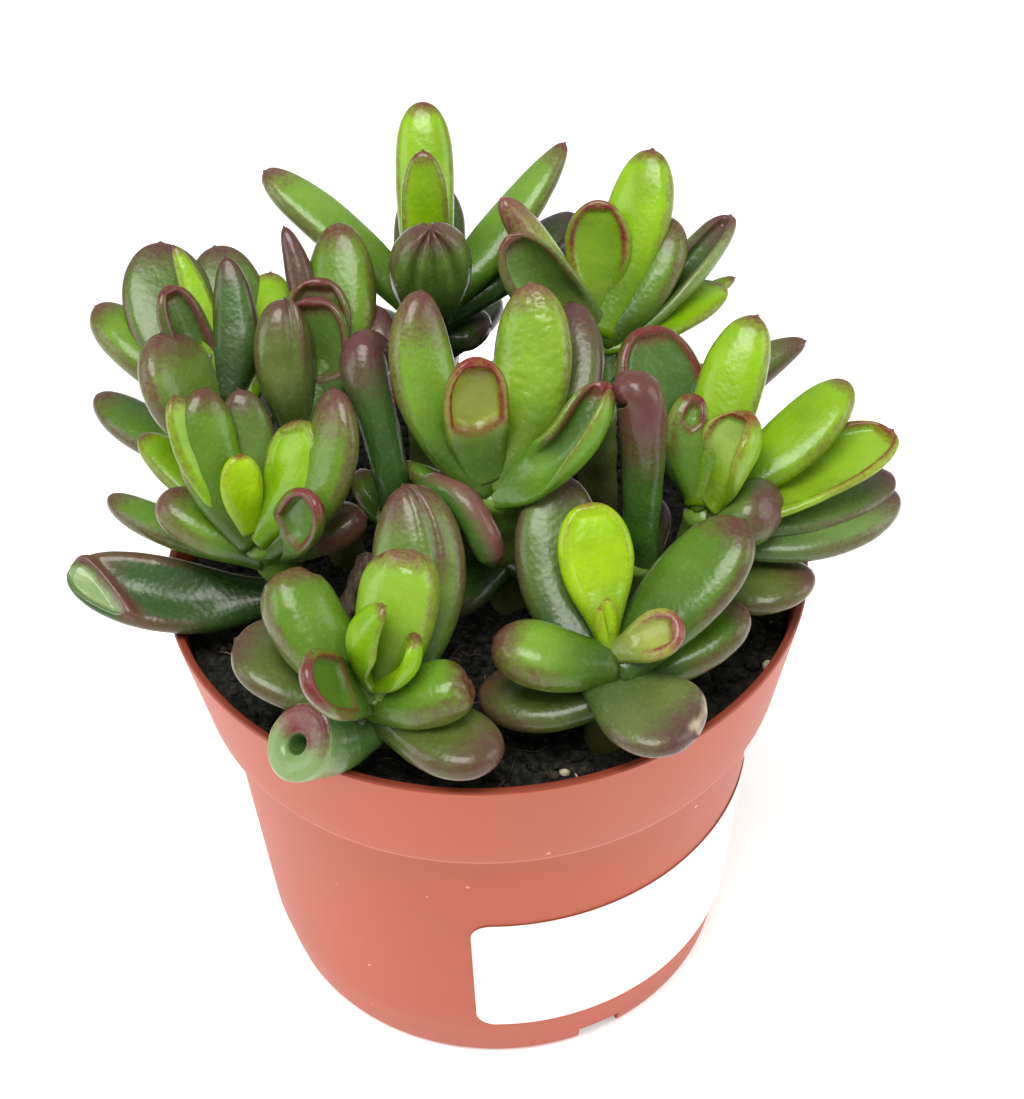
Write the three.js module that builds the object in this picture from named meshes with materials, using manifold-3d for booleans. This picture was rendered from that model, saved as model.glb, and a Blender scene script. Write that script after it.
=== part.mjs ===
// Potted hobbit jade: a succulent with spoon, finger and paddle leaves in a plastic nursery pot.
// Millimetres, +Z up. The origin is the centre of the pot's underside, and the plant's front looks to -Y.

import * as THREE from 'three';
import { mergeVertices } from 'three/addons/utils/BufferGeometryUtils.js';
import Module from 'manifold-3d';

const wasm = await Module();
wasm.setup();

// Pot, the common nursery size with a 108 mm rim; notches round the foot let water out
const POT_HEIGHT = 85;
const RIM_RADIUS = 54;
const BAND_HEIGHT = 21;
const BAND_FOOT_RADIUS = 50.4;
const WALL_TOP_RADIUS = 47.4;
const WALL_LOW_RADIUS = 43.6;
const WALL_LOW_HEIGHT = 10;
const FOOT_RADIUS = 41.8;
const WALL = 1.4;
const FLOOR = 1.6;
const POT_STEPS = 48;
const NOTCH_WIDTH = 8;
const NOTCH_HEIGHT = 3.4;
const NOTCH_DEPTH = 6;
const NOTCH_COUNT = 4;
const FIRST_NOTCH = 23.7;

// Soil, with a plain hole for each stem
const GAP = 0.3;
const SOIL_TOP = 80;
const HOLE_DEPTH = 5;
const HOLE_SIDES = 12;

// Paper label on the wall, left blank
const LABEL_THICK = 0.6;
const LABEL_BOTTOM = 11.5;
const LABEL_HEIGHT = 30.8;
const LABEL_START = -96.7;
const LABEL_SWEEP = 85.7;
const LABEL_CORNER = 3.5;
const LABEL_STEPS = 18;

// Leaf mesh: rings along a leaf, and points round a flat or a folded one
const LEAF_RINGS = 5;
const FLAT_SIDES = 8;
const FOLDED_SIDES = 10;
const FOLDED_FROM = 100;
const STEM_SIDES = 8;
const SECTION_POWER = 2 / 2.3;

// Leaf formula, along the leaf from 0 at the stem to 1 at the tip: rings crowd towards the tip and stop
// short of it, the tip curls in from CURL_FROM on, and the fold grows between the two FOLD_GROWS
const RING_SPREAD = 1.4;
const TIP_STOP = 0.985;
const TANGENT_STEP = 0.01;
const CURL_FROM = 0.6;
const TIP_ROUND = 1 / 2.1;
const NECK_THICK = 0.8;
const TIP_TAPER = 0.8;
const FOLD_GROWS = [0.05, 0.6];
const TIP_FOLD = 0.5;
const FOLD_LIMIT = 1.5;
const LEAST_FOLD = 1e-3;

// Leaf outlines: neck width and widest place as shares of the leaf, and how blunt the tip is
const KINDS = {
  paddle: [0.66, 0.60, 2.3],
  spoon: [0.46, 0.64, 2.6],
  club: [0.74, 0.62, 2.9],
  fold: [0.66, 0.60, 2.6],
  tube: [0.60, 0.62, 3.0],
  petal: [0.62, 0.45, 1.5],
  disc: [0.24, 0.66, 2.2],
  oval: [0.42, 0.60, 2.1],
};

const SKIN = {
  lime: [0x8fb43a, 0.42],
  green: [0x5f8a34, 0.42],
  dark: [0x3f5f34, 0.45],
};

// Shoots: foot on the soil, crown (x, y, z), stem radius at foot and crown, then leaves as
// kind, azimuth, lift, length, width, thickness, fold, cup, bow, sway, roll, distance below crown.
// Azimuth, lift, fold and roll are degrees, and azimuth counts from +X towards +Y.
const SHOOTS = {
  shoot_front_left: {
    foot: [-17, -36], crown: [-18, -42, 97], radii: [3.2, 3.4], skin: 'green', leaves: [
      ['petal', 198, 103, 14.5, 9.2, 2.6, 110, 0, 3, 1, 0, -1],
      ['spoon', 3, 46, 11.5, 8.2, 2.6, 140, 1, 1.5, 1.5, 0, -1],
      ['club', 134, 38, 22, 11.8, 9.5, 0, 0, 0, -2.5, 0, 2],
      ['club', 64, 54, 22, 12.4, 9.5, 0, 0, 0, 1, 0, 2],
      ['paddle', 78, 39, 33, 14.6, 7, 30, 0, 2, 4, 0, 5],
      ['tube', 240, 46, 26, 11.6, 3.2, 90, 1.5, 0.5, 0.5, -50, 4],
      ['club', 348, 21, 16, 10.6, 8.5, 0, 0, 0, 1.5, 0, 4.5],
      ['paddle', 322, 2, 22, 13.4, 6.5, 30, 0, 0.5, -0.5, 0, 7.5],
      ['paddle', 159, 16, 23.5, 16.6, 5.5, 30, 0, 0.5, 0, 0, 6],
      ['club', 212, 20, 14.5, 11, 10.4, 0, 0, 0, 0, 0, 9.4],
    ],
  },
  shoot_front_right: {
    foot: [17, -39], crown: [18, -38, 96], radii: [3.0, 3.2], skin: 'green', leaves: [
      ['disc', 98, 46, 24, 11.6, 4.2, 25, 0, 0.5, 0, 0, 0],
      ['paddle', 93, 60, 9.5, 3, 2, 60, 0, 0.5, 0, 0, 0],
      ['paddle', 116, 65, 8.5, 1.8, 2, 60, 0, 0.5, 0, 0, 0],
      ['paddle', 101, 34, 32, 14.2, 6.5, 20, 0, 2, -3.5, 0, 3],
      ['paddle', 35, 31, 30.5, 14.2, 6.5, 20, 0, 1, 0, 0, 2],
      ['paddle', 25, 11, 25, 11.2, 6, 20, 0, 1, 0, 0, 5],
      ['spoon', 351, 30, 12.5, 8.4, 3, 100, 0.5, 0.5, -0.5, 28, -1],
      ['paddle', 171, 13, 18, 11.4, 8, 10, 0, 0, -1.5, 0, 1],
      ['paddle', 162, -8, 19, 14.6, 6, 20, 0, 0.5, -2.5, 0, 6],
      ['paddle', 311, 1, 18, 16.6, 5.5, 20, 0, 0.5, 1, 0, 3],
    ],
  },
  shoot_left: {
    foot: [-29, -8], crown: [-36, -14, 102], radii: [3.4, 3.2], skin: 'green', leaves: [
      ['paddle', 100, 72, 13, 6.8, 3, 60, 0, 0.5, -0.5, 12, -2],
      ['spoon', 56, 50, 19.5, 11.2, 5.5, 10, 0, 0.5, 3, 0, -0.5],
      ['paddle', 118, 57, 25, 10.2, 5.5, 10, 0, 0.5, -3, 0, 0],
      ['paddle', 100, 53, 25, 8.8, 5, 10, 0, 0.5, 0.5, 0, 2],
      ['paddle', 40, 54, 28, 10.4, 5.5, 10, 0, 1, 5, 0, 2],
      ['tube', 332, 54, 19, 9.8, 3.2, 100, 1, 0.5, 1, 70, 3],
      ['paddle', 11, 14, 16.5, 8.6, 6, 40, 0, 0.5, -1, 10, 4],
      ['club', 160, 24, 19, 9.4, 6.5, 10, 0, 0.5, -1, 0, 3.5],
      ['paddle', 152, 3, 31, 6.8, 4.5, 10, 0, 0.5, -1.5, 0, 5],
      ['oval', 182, 12, 37, 13.6, 5, 120, 0, 1.5, -3, -30, 15],
      ['paddle', 141, 57, 27, 8, 3, 50, 0, 0.5, -1.5, 0, 1],
      ['paddle', 136, 16, 29, 8.2, 3.5, 30, 0, 0.5, 0.5, 0, 2],
    ],
  },
  shoot_back_left: {
    foot: [-32, 8], crown: [-41, 6, 114], radii: [3.6, 3.0], skin: 'green', leaves: [
      ['paddle', 115, 33, 31.5, 15.6, 4.5, 10, 0, 1, -2.5, 0, 2],
      ['paddle', 96, 29, 30, 13, 4.5, 10, 0, 1, 1.5, 0, 2],
      ['petal', 113, 46, 26.5, 5.2, 3, 30, 0, 0.5, 1, 0, 0],
      ['petal', 87, 47, 23.5, 8, 4.5, 10, 0, 0.5, 1.5, 0, 0],
      ['paddle', 74, 26, 26, 10, 4, 10, 0, 0.5, 1, 0, 2],
      ['tube', 138, 57, 23.5, 9, 3.2, 100, 1.5, 0.5, -0.5, 0, 3],
      ['paddle', 143, 20, 29.5, 10.4, 6, 10, 0, 0.5, -0.5, 0, 2],
      ['paddle', 141, 20, 22, 5.6, 3, 30, 0, 0.5, -0.5, 0, 3],
      ['oval', 161, 59, 22.5, 18.6, 7.5, 10, 0, 0.5, -3.5, 0, 8],
      ['paddle', 150, 8, 33, 9.4, 5, 10, 0, 0.5, -2.5, 0, 15],
      ['paddle', 95, -6, 26, 11, 5, 10, 0, 0.5, 0, 0, 9],
      ['paddle', 60, -4, 20, 10, 5, 10, 0, 0.5, 0, 0, 12],
    ],
  },
  shoot_left_inner: {
    foot: [-24, 6], crown: [-29, 2, 112], radii: [3.2, 3.0], skin: 'dark', leaves: [
      ['paddle', 100, 62, 22.5, 9.6, 7, 10, 0, -1, -1.5, 0, 3],
      ['tube', 75, 57, 22, 14, 3.2, 100, 1.5, 0.5, 1, 0, 2],
      ['tube', 75, 50, 25, 13, 3.2, 100, 1.5, 0.5, 0.5, 0, 2],
      ['oval', 74, 43, 34, 12, 6.5, 10, 0, 1, 2.5, 0, 1],
      ['paddle', 52, 34, 24, 10, 5, 10, 0, 0.5, 2.5, 0, 2],
      ['paddle', 95, 50, 34, 4.8, 4.5, 10, 0, 0.5, 2.5, 0, 3],
    ],
  },
  shoot_middle_left: {
    foot: [-13, -6], crown: [-15, -7, 101], radii: [2.8, 2.8], skin: 'dark', leaves: [
      ['paddle', 118, 17, 12.5, 5.4, 4, 10, 0, 0.5, -0.5, 0, 4],
      ['paddle', 60, 10, 15, 8, 5, 10, 0, 0.5, 0, 0, 10],
      ['paddle', 108, 68, 26.5, 7, 6, 20, 0, 0.5, 0, 10, 2],
      ['paddle', 318, -18, 19, 5, 4.6, 10, 0, -5, 0, 0, -3],
    ],
  },
  shoot_centre: {
    foot: [4, -6], crown: [1, -12, 109], radii: [3.8, 4.2], skin: 'green', leaves: [
      ['paddle', 118, 52, 33, 10.4, 7, 10, 0, 1.5, -4, 0, 1],
      ['tube', 102, 70, 20.5, 11.6, 2.8, 110, 1.5, 1, -1, 0, -1.5],
      ['paddle', 70, 49, 33, 12.6, 7, 10, 0, 1.5, 2.5, 0, 1],
      ['paddle', 62, 31, 34.5, 10.6, 5, 10, 0, 1, 5, 0, 2],
      ['paddle', 55, 32, 14, 4.2, 2, 40, 0, 0.5, 1, 0, 0],
      ['tube', 15, 39, 25, 12.2, 3, 240, 0.5, 0.5, 5, 15, 0],
      ['paddle', 152, 4, 16, 4, 3.5, 10, 0, 0.5, -1, 0, 2],
      ['paddle', 215, 0, 20, 13, 6, 10, 0, 0.5, 0, 0, 18],
      ['paddle', 335, 2, 15, 11, 6, 10, 0, 0.5, 0, 0, 17],
      ['paddle', 185, 12, 14, 9, 5, 10, 0, 0.5, 0, 0, 12],
    ],
  },
  shoot_middle_right: {
    foot: [25, -10], crown: [24, -13, 94], radii: [3.2, 3.4], skin: 'dark', leaves: [
      ['paddle', 150, 35, 9, 6, 4, 10, 0, 0.5, 0, 0, 2],
      ['paddle', 74, 20, 15.5, 7.6, 5, 10, 0, 0.5, 0, 0, 6],
      ['paddle', 70, 83, 30.5, 7.6, 7, 20, 0, 1.5, 0, 10, 0],
    ],
  },
  shoot_back: {
    foot: [-10, 18], crown: [-8, 23, 118], radii: [3.6, 3.0], skin: 'green', leaves: [
      ['club', 89, 49, 35, 9.8, 6, 10, 0, 1, 0, 0, 0],
      ['paddle', 87, 72, 27, 8, 3.5, 60, 0, 0.5, 0, 0, 0],
      ['paddle', 280, 72, 22, 13.4, 9, 10, 0, 1, 0, 0, 0],
      ['paddle', 148, 32, 36.5, 9.4, 5, 10, 0, -1, 0, 0, 1],
      ['petal', 41, 32, 37.5, 9, 5, 10, 0, 0.5, 0.5, 0, 1],
      ['paddle', 37, 14, 33, 8.4, 5, 10, 0, 0.5, 0.5, 0, 2],
      ['paddle', 23, 1, 11.5, 10, 5, 10, 0, 0.5, -2, 0, 6],
      ['paddle', 88, 25, 29.5, 12.5, 5, 10, 0, 0.5, 0, 0, 3],
      ['paddle', 125, -8, 25, 11, 5, 10, 0, 0.5, 0, 0, 9],
      ['paddle', 62, -6, 24, 10, 5, 10, 0, 0.5, 0, 0, 8],
      ['paddle', 90, -12, 26, 11, 5, 10, 0, 0.5, 0, 0, 14],
    ],
  },
  shoot_back_right: {
    foot: [20, 16], crown: [20, 20, 114], radii: [3.4, 3.0], skin: 'lime', leaves: [
      ['disc', 87, 61, 22.5, 11.2, 3, 60, 1.5, 0.5, 0, 0, 0],
      ['paddle', 61, 49, 32, 11.4, 6, 10, 0, 1, 0.5, 0, 0],
      ['paddle', 46, 39, 24, 11, 6, 10, 0, 0.5, 1.5, 0, 1],
      ['fold', 37, 24, 32.5, 8.8, 3, 180, 0, 0.5, 2.5, 0, 2],
      ['paddle', 27, 7, 24.5, 11, 3, 70, 0, 0.5, 2, 0, 1],
      ['paddle', 29, 5, 28, 3.8, 3, 10, 0, 0.5, 0, 0, 1],
      ['fold', 184, 57, 27, 12.4, 3, 120, 1, 0.5, -1, -75, 1],
      ['paddle', 95, 8, 30, 11, 5, 10, 0, 0.5, 0, 0, 4],
      ['paddle', 58, -5, 28, 11, 5, 10, 0, 0.5, 0, 0, 8],
      ['paddle', 5, -8, 22, 10, 5, 10, 0, 0.5, 0, 0, 8],
      ['paddle', 125, -10, 22, 10, 5, 10, 0, 0.5, 0, 0, 10],
      ['paddle', 158, 56, 29.5, 7, 5, 10, 0, 0.5, 1.5, 0, 1],
    ],
  },
  shoot_right: {
    foot: [33, -8], crown: [35, -12, 103], radii: [3.6, 3.4], skin: 'lime', leaves: [
      ['paddle', 65, 45, 31.5, 10.6, 6.5, 10, 0, 0.5, -1.5, 0, 0],
      ['paddle', 55, 22, 36, 7.6, 5, 10, 0, 0.5, -8, 0, 2],
      ['tube', 93, 49, 18, 7.4, 4.4, 110, 0, 0.5, -2, 0, 0],
      ['spoon', 31, 56, 16, 15.4, 3.6, 160, 1.5, 0.5, 0.5, -15, -1.5],
      ['oval', 33, 24, 31.5, 11.2, 5, 10, 0, 0.5, 1, 0, 1],
      ['fold', 19, 10, 33.5, 14.8, 3, 80, 0.5, 1, 1.5, 0, 1],
      ['paddle', 18, -1, 33.5, 11.6, 4, 20, 0, 0.5, 3, 0, 3],
      ['paddle', 12, 2, 33, 12.4, 5, 20, 0, 0.5, 5, 0, 6],
      ['club', 338, 34, 14, 12.6, 9, 10, 0, 0, -0.5, 0, 5],
      ['paddle', 341, 4, 19, 12.6, 5, 10, 0, 0.5, 5, 0, 12],
      ['disc', 112, 43, 31, 15.6, 5, 50, 1, 1, -0.5, 0, 1],
      ['paddle', 50, -6, 28, 11, 5, 10, 0, 0.5, 0, 0, 9],
    ],
  },
  dead_stem: {
    foot: [-24, -11], crown: [-19.5, -9.5, 94], radii: [2.2, 1.3], skin: 'dark', leaves: [],
  },
};

const rad = THREE.MathUtils.degToRad;
const clamp01 = (x) => Math.min(Math.max(x, 0), 1);
const smooth = (t, a, b) => THREE.MathUtils.smoothstep(t, a, b);
const signedPower = (x, p) => Math.sign(x) * Math.abs(x) ** p;

function toSolid(geometry) {
  const bare = geometry.clone();
  bare.deleteAttribute('normal');
  bare.deleteAttribute('uv');
  const merged = mergeVertices(bare, 1e-4);
  return new wasm.Manifold(new wasm.Mesh({
    numProp: 3,
    vertProperties: new Float32Array(merged.attributes.position.array),
    triVerts: new Uint32Array(merged.index.array),
  }));
}

function toGeometry(solid) {
  const mesh = solid.getMesh();
  const geometry = new THREE.BufferGeometry();
  geometry.setAttribute('position', new THREE.BufferAttribute(mesh.vertProperties, 3));
  geometry.setIndex(new THREE.BufferAttribute(mesh.triVerts, 1));
  geometry.computeVertexNormals();
  return geometry;
}

// Closed skin over rings of equal size, with a middle point at each end
function skinRings(rings) {
  const sides = rings[0].length;
  const points = rings.flat();
  const ends = [rings[0], rings[rings.length - 1]].map((ring) => {
    const middle = new THREE.Vector3();
    ring.forEach((p) => middle.add(p));
    return middle.divideScalar(sides);
  });
  const index = [];
  for (let i = 0; i < rings.length - 1; i += 1) {
    for (let j = 0; j < sides; j += 1) {
      const a = i * sides + j;
      const b = i * sides + ((j + 1) % sides);
      index.push(a, b, b + sides, a, b + sides, a + sides);
    }
  }
  const first = points.length;
  const last = (rings.length - 1) * sides;
  for (let j = 0; j < sides; j += 1) {
    const k = (j + 1) % sides;
    index.push(first, k, j, first + 1, last + j, last + k);
  }
  const geometry = new THREE.BufferGeometry().setFromPoints([...points, ...ends]);
  geometry.setIndex(index);
  return geometry;
}

function stemPoint(shoot, z) {
  const [x, y, top] = shoot.crown;
  const share = Math.max((z - SOIL_TOP) / (top - SOIL_TOP), 0);
  return new THREE.Vector3(
    THREE.MathUtils.lerp(shoot.foot[0], x, share),
    THREE.MathUtils.lerp(shoot.foot[1], y, share),
    z,
  );
}

function stemGeometry(shoot) {
  const top = shoot.crown[2];
  const heights = [SOIL_TOP - HOLE_DEPTH + GAP, SOIL_TOP, (SOIL_TOP + top) / 2, top];
  const rings = heights.map((z) => {
    const share = clamp01((z - SOIL_TOP) / (top - SOIL_TOP));
    const radius = THREE.MathUtils.lerp(shoot.radii[0], shoot.radii[1], share);
    return Array.from({ length: STEM_SIDES }, (_, j) => {
      const angle = (2 * Math.PI * j) / STEM_SIDES;
      return stemPoint(shoot, z).add(
        new THREE.Vector3(radius * Math.cos(angle), radius * Math.sin(angle), 0),
      );
    });
  });
  return skinRings(rings);
}

// A leaf is a thick strip bent round its long axis: fold 0 is flat, 180 a trough, 270 a tube with a slit
function leafGeometry(shoot, leaf) {
  const [kind, azimuth, lift, length, width, thick, fold, cup, bow, sway, roll, down] = leaf;
  const [neck, widest, blunt] = KINDS[kind];
  const base = stemPoint(shoot, shoot.crown[2] - down);
  const [az, up] = [rad(azimuth), rad(lift)];
  const chord = new THREE.Vector3(
    Math.cos(up) * Math.cos(az), Math.cos(up) * Math.sin(az), Math.sin(up),
  );
  const inner = new THREE.Vector3(
    -Math.sin(up) * Math.cos(az), -Math.sin(up) * Math.sin(az), Math.cos(up),
  ).applyAxisAngle(chord, rad(roll));
  const side = new THREE.Vector3().crossVectors(chord, inner);

  const midline = (t) => {
    const arch = 4 * t * (1 - t);
    const curl = clamp01((t - CURL_FROM) / (1 - CURL_FROM)) ** 2;
    return base.clone()
      .addScaledVector(chord, length * t)
      .addScaledVector(inner, cup * curl - bow * arch)
      .addScaledVector(side, sway * arch);
  };

  const sides = fold >= FOLDED_FROM ? FOLDED_SIDES : FLAT_SIDES;
  const rings = [];
  for (let i = 0; i < LEAF_RINGS; i += 1) {
    const t = Math.min(1 - (1 - i / (LEAF_RINGS - 1)) ** RING_SPREAD, TIP_STOP);
    const along = midline(t + TANGENT_STEP).sub(midline(t - TANGENT_STEP)).normalize();
    const across = side.clone().addScaledVector(along, -side.dot(along)).normalize();
    const inward = new THREE.Vector3().crossVectors(across, along);
    const grow = neck + (1 - neck) * Math.sin((Math.PI / 2) * clamp01(t / widest)) ** 2;
    const close = (1 - clamp01((t - widest) / (1 - widest)) ** blunt) ** TIP_ROUND;
    const stripWidth = width * grow * close;
    const rise = Math.sin((Math.PI / 2) * clamp01(t / widest));
    const stripThick = thick * (NECK_THICK + (1 - NECK_THICK) * rise) * close ** TIP_TAPER;
    const bend = rad(fold) * smooth(t, ...FOLD_GROWS) * (TIP_FOLD + (1 - TIP_FOLD) * close);
    const angle = Math.max(Math.min(bend, (FOLD_LIMIT * stripWidth) / stripThick), LEAST_FOLD);
    const radius = stripWidth / angle;
    const centre = midline(t).addScaledVector(inward, radius);
    rings.push(Array.from({ length: sides }, (_, j) => {
      const turn = (-2 * Math.PI * j) / sides;
      const place = (angle / 2) * signedPower(Math.cos(turn), SECTION_POWER);
      const reach = radius - (stripThick / 2) * signedPower(Math.sin(turn), SECTION_POWER);
      return centre.clone()
        .addScaledVector(across, reach * Math.sin(place))
        .addScaledVector(inward, -reach * Math.cos(place));
    }));
  }
  return skinRings(rings);
}

function shootGeometry(shoot) {
  const stem = toSolid(stemGeometry(shoot));
  return toGeometry(shoot.leaves.reduce((body, leaf) => body.add(toSolid(leafGeometry(shoot, leaf))), stem));
}

function lathe(profile) {
  const points = profile.map(([r, z]) => new THREE.Vector2(r, z));
  return new THREE.LatheGeometry(points, POT_STEPS).rotateX(Math.PI / 2);
}

// Inner face of the pot's wall, moved in by inset
function innerWall(inset) {
  const shift = WALL + inset;
  return [
    [FOOT_RADIUS - shift, FLOOR + inset],
    [WALL_LOW_RADIUS - shift, WALL_LOW_HEIGHT],
    [WALL_TOP_RADIUS - shift, POT_HEIGHT - BAND_HEIGHT + WALL + inset],
    [BAND_FOOT_RADIUS - shift, POT_HEIGHT - BAND_HEIGHT + WALL + inset],
  ];
}

function potGeometry() {
  const bandFoot = POT_HEIGHT - BAND_HEIGHT;
  const outside = [
    [0, 0],
    [FOOT_RADIUS, 0],
    [WALL_LOW_RADIUS, WALL_LOW_HEIGHT],
    [WALL_TOP_RADIUS, bandFoot],
    [BAND_FOOT_RADIUS, bandFoot],
    [RIM_RADIUS, POT_HEIGHT],
  ];
  const inside = [[RIM_RADIUS - WALL, POT_HEIGHT], ...innerWall(0).reverse(), [0, FLOOR]];
  let pot = toSolid(lathe([...outside, ...inside]));
  for (let i = 0; i < NOTCH_COUNT; i += 1) {
    const cutter = new THREE.BoxGeometry(2 * NOTCH_DEPTH, NOTCH_WIDTH, 2 * NOTCH_HEIGHT);
    cutter.translate(FOOT_RADIUS, 0, 0);
    cutter.rotateZ(rad(FIRST_NOTCH + (360 / NOTCH_COUNT) * i));
    pot = pot.subtract(toSolid(cutter));
  }
  return toGeometry(pot);
}

function soilGeometry() {
  const wallSlope = (RIM_RADIUS - BAND_FOOT_RADIUS) / BAND_HEIGHT;
  const topRadius = RIM_RADIUS - WALL - GAP - wallSlope * (POT_HEIGHT - SOIL_TOP);
  let soil = toSolid(lathe([[0, FLOOR + GAP], ...innerWall(GAP), [topRadius, SOIL_TOP], [0, SOIL_TOP]]));
  Object.values(SHOOTS).forEach((shoot) => {
    const radius = (shoot.radii[0] + GAP) / Math.cos(Math.PI / HOLE_SIDES);
    const hole = new THREE.CylinderGeometry(radius, radius, 2 * HOLE_DEPTH, HOLE_SIDES);
    hole.rotateX(Math.PI / 2);
    hole.translate(shoot.foot[0], shoot.foot[1], SOIL_TOP);
    soil = soil.subtract(toSolid(hole));
  });
  return toGeometry(soil);
}

function labelGeometry() {
  const slope = (WALL_TOP_RADIUS - WALL_LOW_RADIUS) / (POT_HEIGHT - BAND_HEIGHT - WALL_LOW_HEIGHT);
  const outline = [];
  for (let i = 0; i <= LABEL_STEPS; i += 1) outline.push(i / LABEL_STEPS);
  const middle = rad(LABEL_START + LABEL_SWEEP / 2);
  const meanRadius = WALL_LOW_RADIUS + slope * (LABEL_BOTTOM + LABEL_HEIGHT / 2 - WALL_LOW_HEIGHT);
  const halfWidth = (rad(LABEL_SWEEP) / 2) * meanRadius;
  const rings = outline.map((share) => {
    const across = halfWidth * (2 * share - 1);
    const intoCorner = clamp01((Math.abs(across) - halfWidth + LABEL_CORNER) / LABEL_CORNER);
    const trim = LABEL_CORNER * (1 - Math.sqrt(1 - intoCorner ** 2));
    const angle = middle + across / meanRadius;
    const corner = (z, off) => {
      const r = WALL_LOW_RADIUS + slope * (z - WALL_LOW_HEIGHT) + off;
      return new THREE.Vector3(r * Math.cos(angle), r * Math.sin(angle), z);
    };
    const low = LABEL_BOTTOM + trim;
    const high = LABEL_BOTTOM + LABEL_HEIGHT - trim;
    return [
      corner(low, GAP), corner(high, GAP),
      corner(high, GAP + LABEL_THICK), corner(low, GAP + LABEL_THICK),
    ];
  });
  return skinRings(rings);
}

const part = new THREE.Group();

function place(name, geometry, color, roughness) {
  const material = new THREE.MeshStandardMaterial({ color, roughness, metalness: 0 });
  const mesh = new THREE.Mesh(geometry, material);
  mesh.name = name;
  part.add(mesh);
}

place('pot', potGeometry(), 0xc97a66, 0.55);
place('soil', soilGeometry(), 0x2b221c, 0.95);
place('label', labelGeometry(), 0xf6f5f2, 0.7);
Object.entries(SHOOTS).forEach(([name, shoot]) => {
  place(name, shootGeometry(shoot), ...SKIN[shoot.skin]);
});

export default part;
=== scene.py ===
import bpy
import math
import random
import numpy as np
from mathutils import Matrix, Vector, noise


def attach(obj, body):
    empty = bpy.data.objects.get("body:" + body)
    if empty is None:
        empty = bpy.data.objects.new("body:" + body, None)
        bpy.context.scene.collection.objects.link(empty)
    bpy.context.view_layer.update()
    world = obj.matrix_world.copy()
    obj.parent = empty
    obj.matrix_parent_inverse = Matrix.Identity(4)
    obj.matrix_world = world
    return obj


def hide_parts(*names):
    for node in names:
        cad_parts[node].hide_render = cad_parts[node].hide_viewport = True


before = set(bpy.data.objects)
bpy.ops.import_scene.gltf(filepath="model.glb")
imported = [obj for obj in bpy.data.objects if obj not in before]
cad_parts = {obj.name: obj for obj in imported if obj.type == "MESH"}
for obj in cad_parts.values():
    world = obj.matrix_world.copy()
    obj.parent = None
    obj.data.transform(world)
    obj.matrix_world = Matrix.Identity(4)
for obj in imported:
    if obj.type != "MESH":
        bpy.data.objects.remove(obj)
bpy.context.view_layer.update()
metres = 0.001
print("frame loaded:", len(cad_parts), "nodes")


def linear(hexText):  # sRGB hex to linear RGBA
    parts = [int(hexText[i:i + 2], 16) / 255 for i in (0, 2, 4)]
    return [p / 12.92 if p <= 0.04045 else ((p + 0.055) / 1.055) ** 2.4 for p in parts] + [1.0]


def addNode(tree, kind, settings=None, inputs=None):  # kind leaves out the leading ShaderNode
    node = tree.nodes.new("ShaderNode" + kind)
    for key, value in (settings or {}).items():
        setattr(node, key, value)
    for key, value in (inputs or {}).items():
        if isinstance(value, bpy.types.NodeSocket):
            tree.links.new(value, node.inputs[key])
        else:
            node.inputs[key].default_value = value
    return node


def newMaterial(name):  # comes with its tree and the place in the object's own space
    material = bpy.data.materials.new(name)
    material.use_nodes = True
    tree = material.node_tree
    tree.nodes.clear()
    return material, tree, addNode(tree, "TexCoord").outputs["Object"]


def closeMaterial(tree, shader):
    addNode(tree, "OutputMaterial", inputs={"Surface": shader.outputs[0]})


def rampStops(node, stops):  # stops are (position, hex colour)
    elements = node.color_ramp.elements
    while len(elements) > 1:
        elements.remove(elements[-1])
    for i, (position, hexText) in enumerate(stops):
        element = elements[0] if i == 0 else elements.new(position)
        element.position = position
        element.color = linear(hexText)
    return node


def perMm(size):  # texture scale for a feature of that size in millimetres
    return 1000 / size


# grain is (texture, output, inputs): it gives the tones and, with relief as (strength, mm), the bumps
def grainyMaterial(name, grain, stops, finish, relief=None, stretch=(1, 1, 1)):
    material, tree, place = newMaterial(name)
    kind, output, inputs = grain
    stretched = addNode(tree, "Mapping", inputs={"Vector": place, "Scale": stretch})
    texture = addNode(tree, kind, inputs={"Vector": stretched.outputs[0], **inputs})
    tone = rampStops(addNode(tree, "ValToRGB", inputs={"Fac": texture.outputs[output]}), stops)
    shader = addNode(tree, "BsdfPrincipled", inputs={"Base Color": tone.outputs[0], **finish})
    if relief:
        bump = addNode(tree, "Bump", inputs={
            "Strength": relief[0], "Distance": relief[1] * metres, "Height": texture.outputs[output],
        })
        tree.links.new(bump.outputs[0], shader.inputs["Normal"])
    closeMaterial(tree, shader)
    return material


def smooth(x, low, high):
    s = np.clip((np.asarray(x, float) - low) / (high - low), 0, 1)
    return s * s * (3 - 2 * s)


def bell(x, width):  # 1 at zero, fading out over about twice that width
    return np.exp(-(x / width) ** 2)


def noiseAt(points, size, seed=0.0):  # smooth noise from -1 to 1, features of that size in millimetres
    flat = points.reshape(-1, 3) / size + seed
    values = [noise.noise(Vector(p)) for p in flat]
    return np.array(values).reshape(points.shape[:-1])


# mesh helpers

def skinRings(rings):  # closed quad skin over rings of equal size, a fan at each end
    count, sides = rings.shape[:2]
    points = np.vstack([rings.reshape(-1, 3), rings[0].mean(0), rings[-1].mean(0)])
    faces = []
    for i in range(count - 1):
        for j in range(sides):
            k = (j + 1) % sides
            faces.append((i * sides + j, i * sides + k, (i + 1) * sides + k, (i + 1) * sides + j))
    first = count * sides
    for j in range(sides):
        k = (j + 1) % sides
        faces.append((first, k, j))
        faces.append((first + 1, first - sides + j, first - sides + k))
    return points, faces


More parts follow.
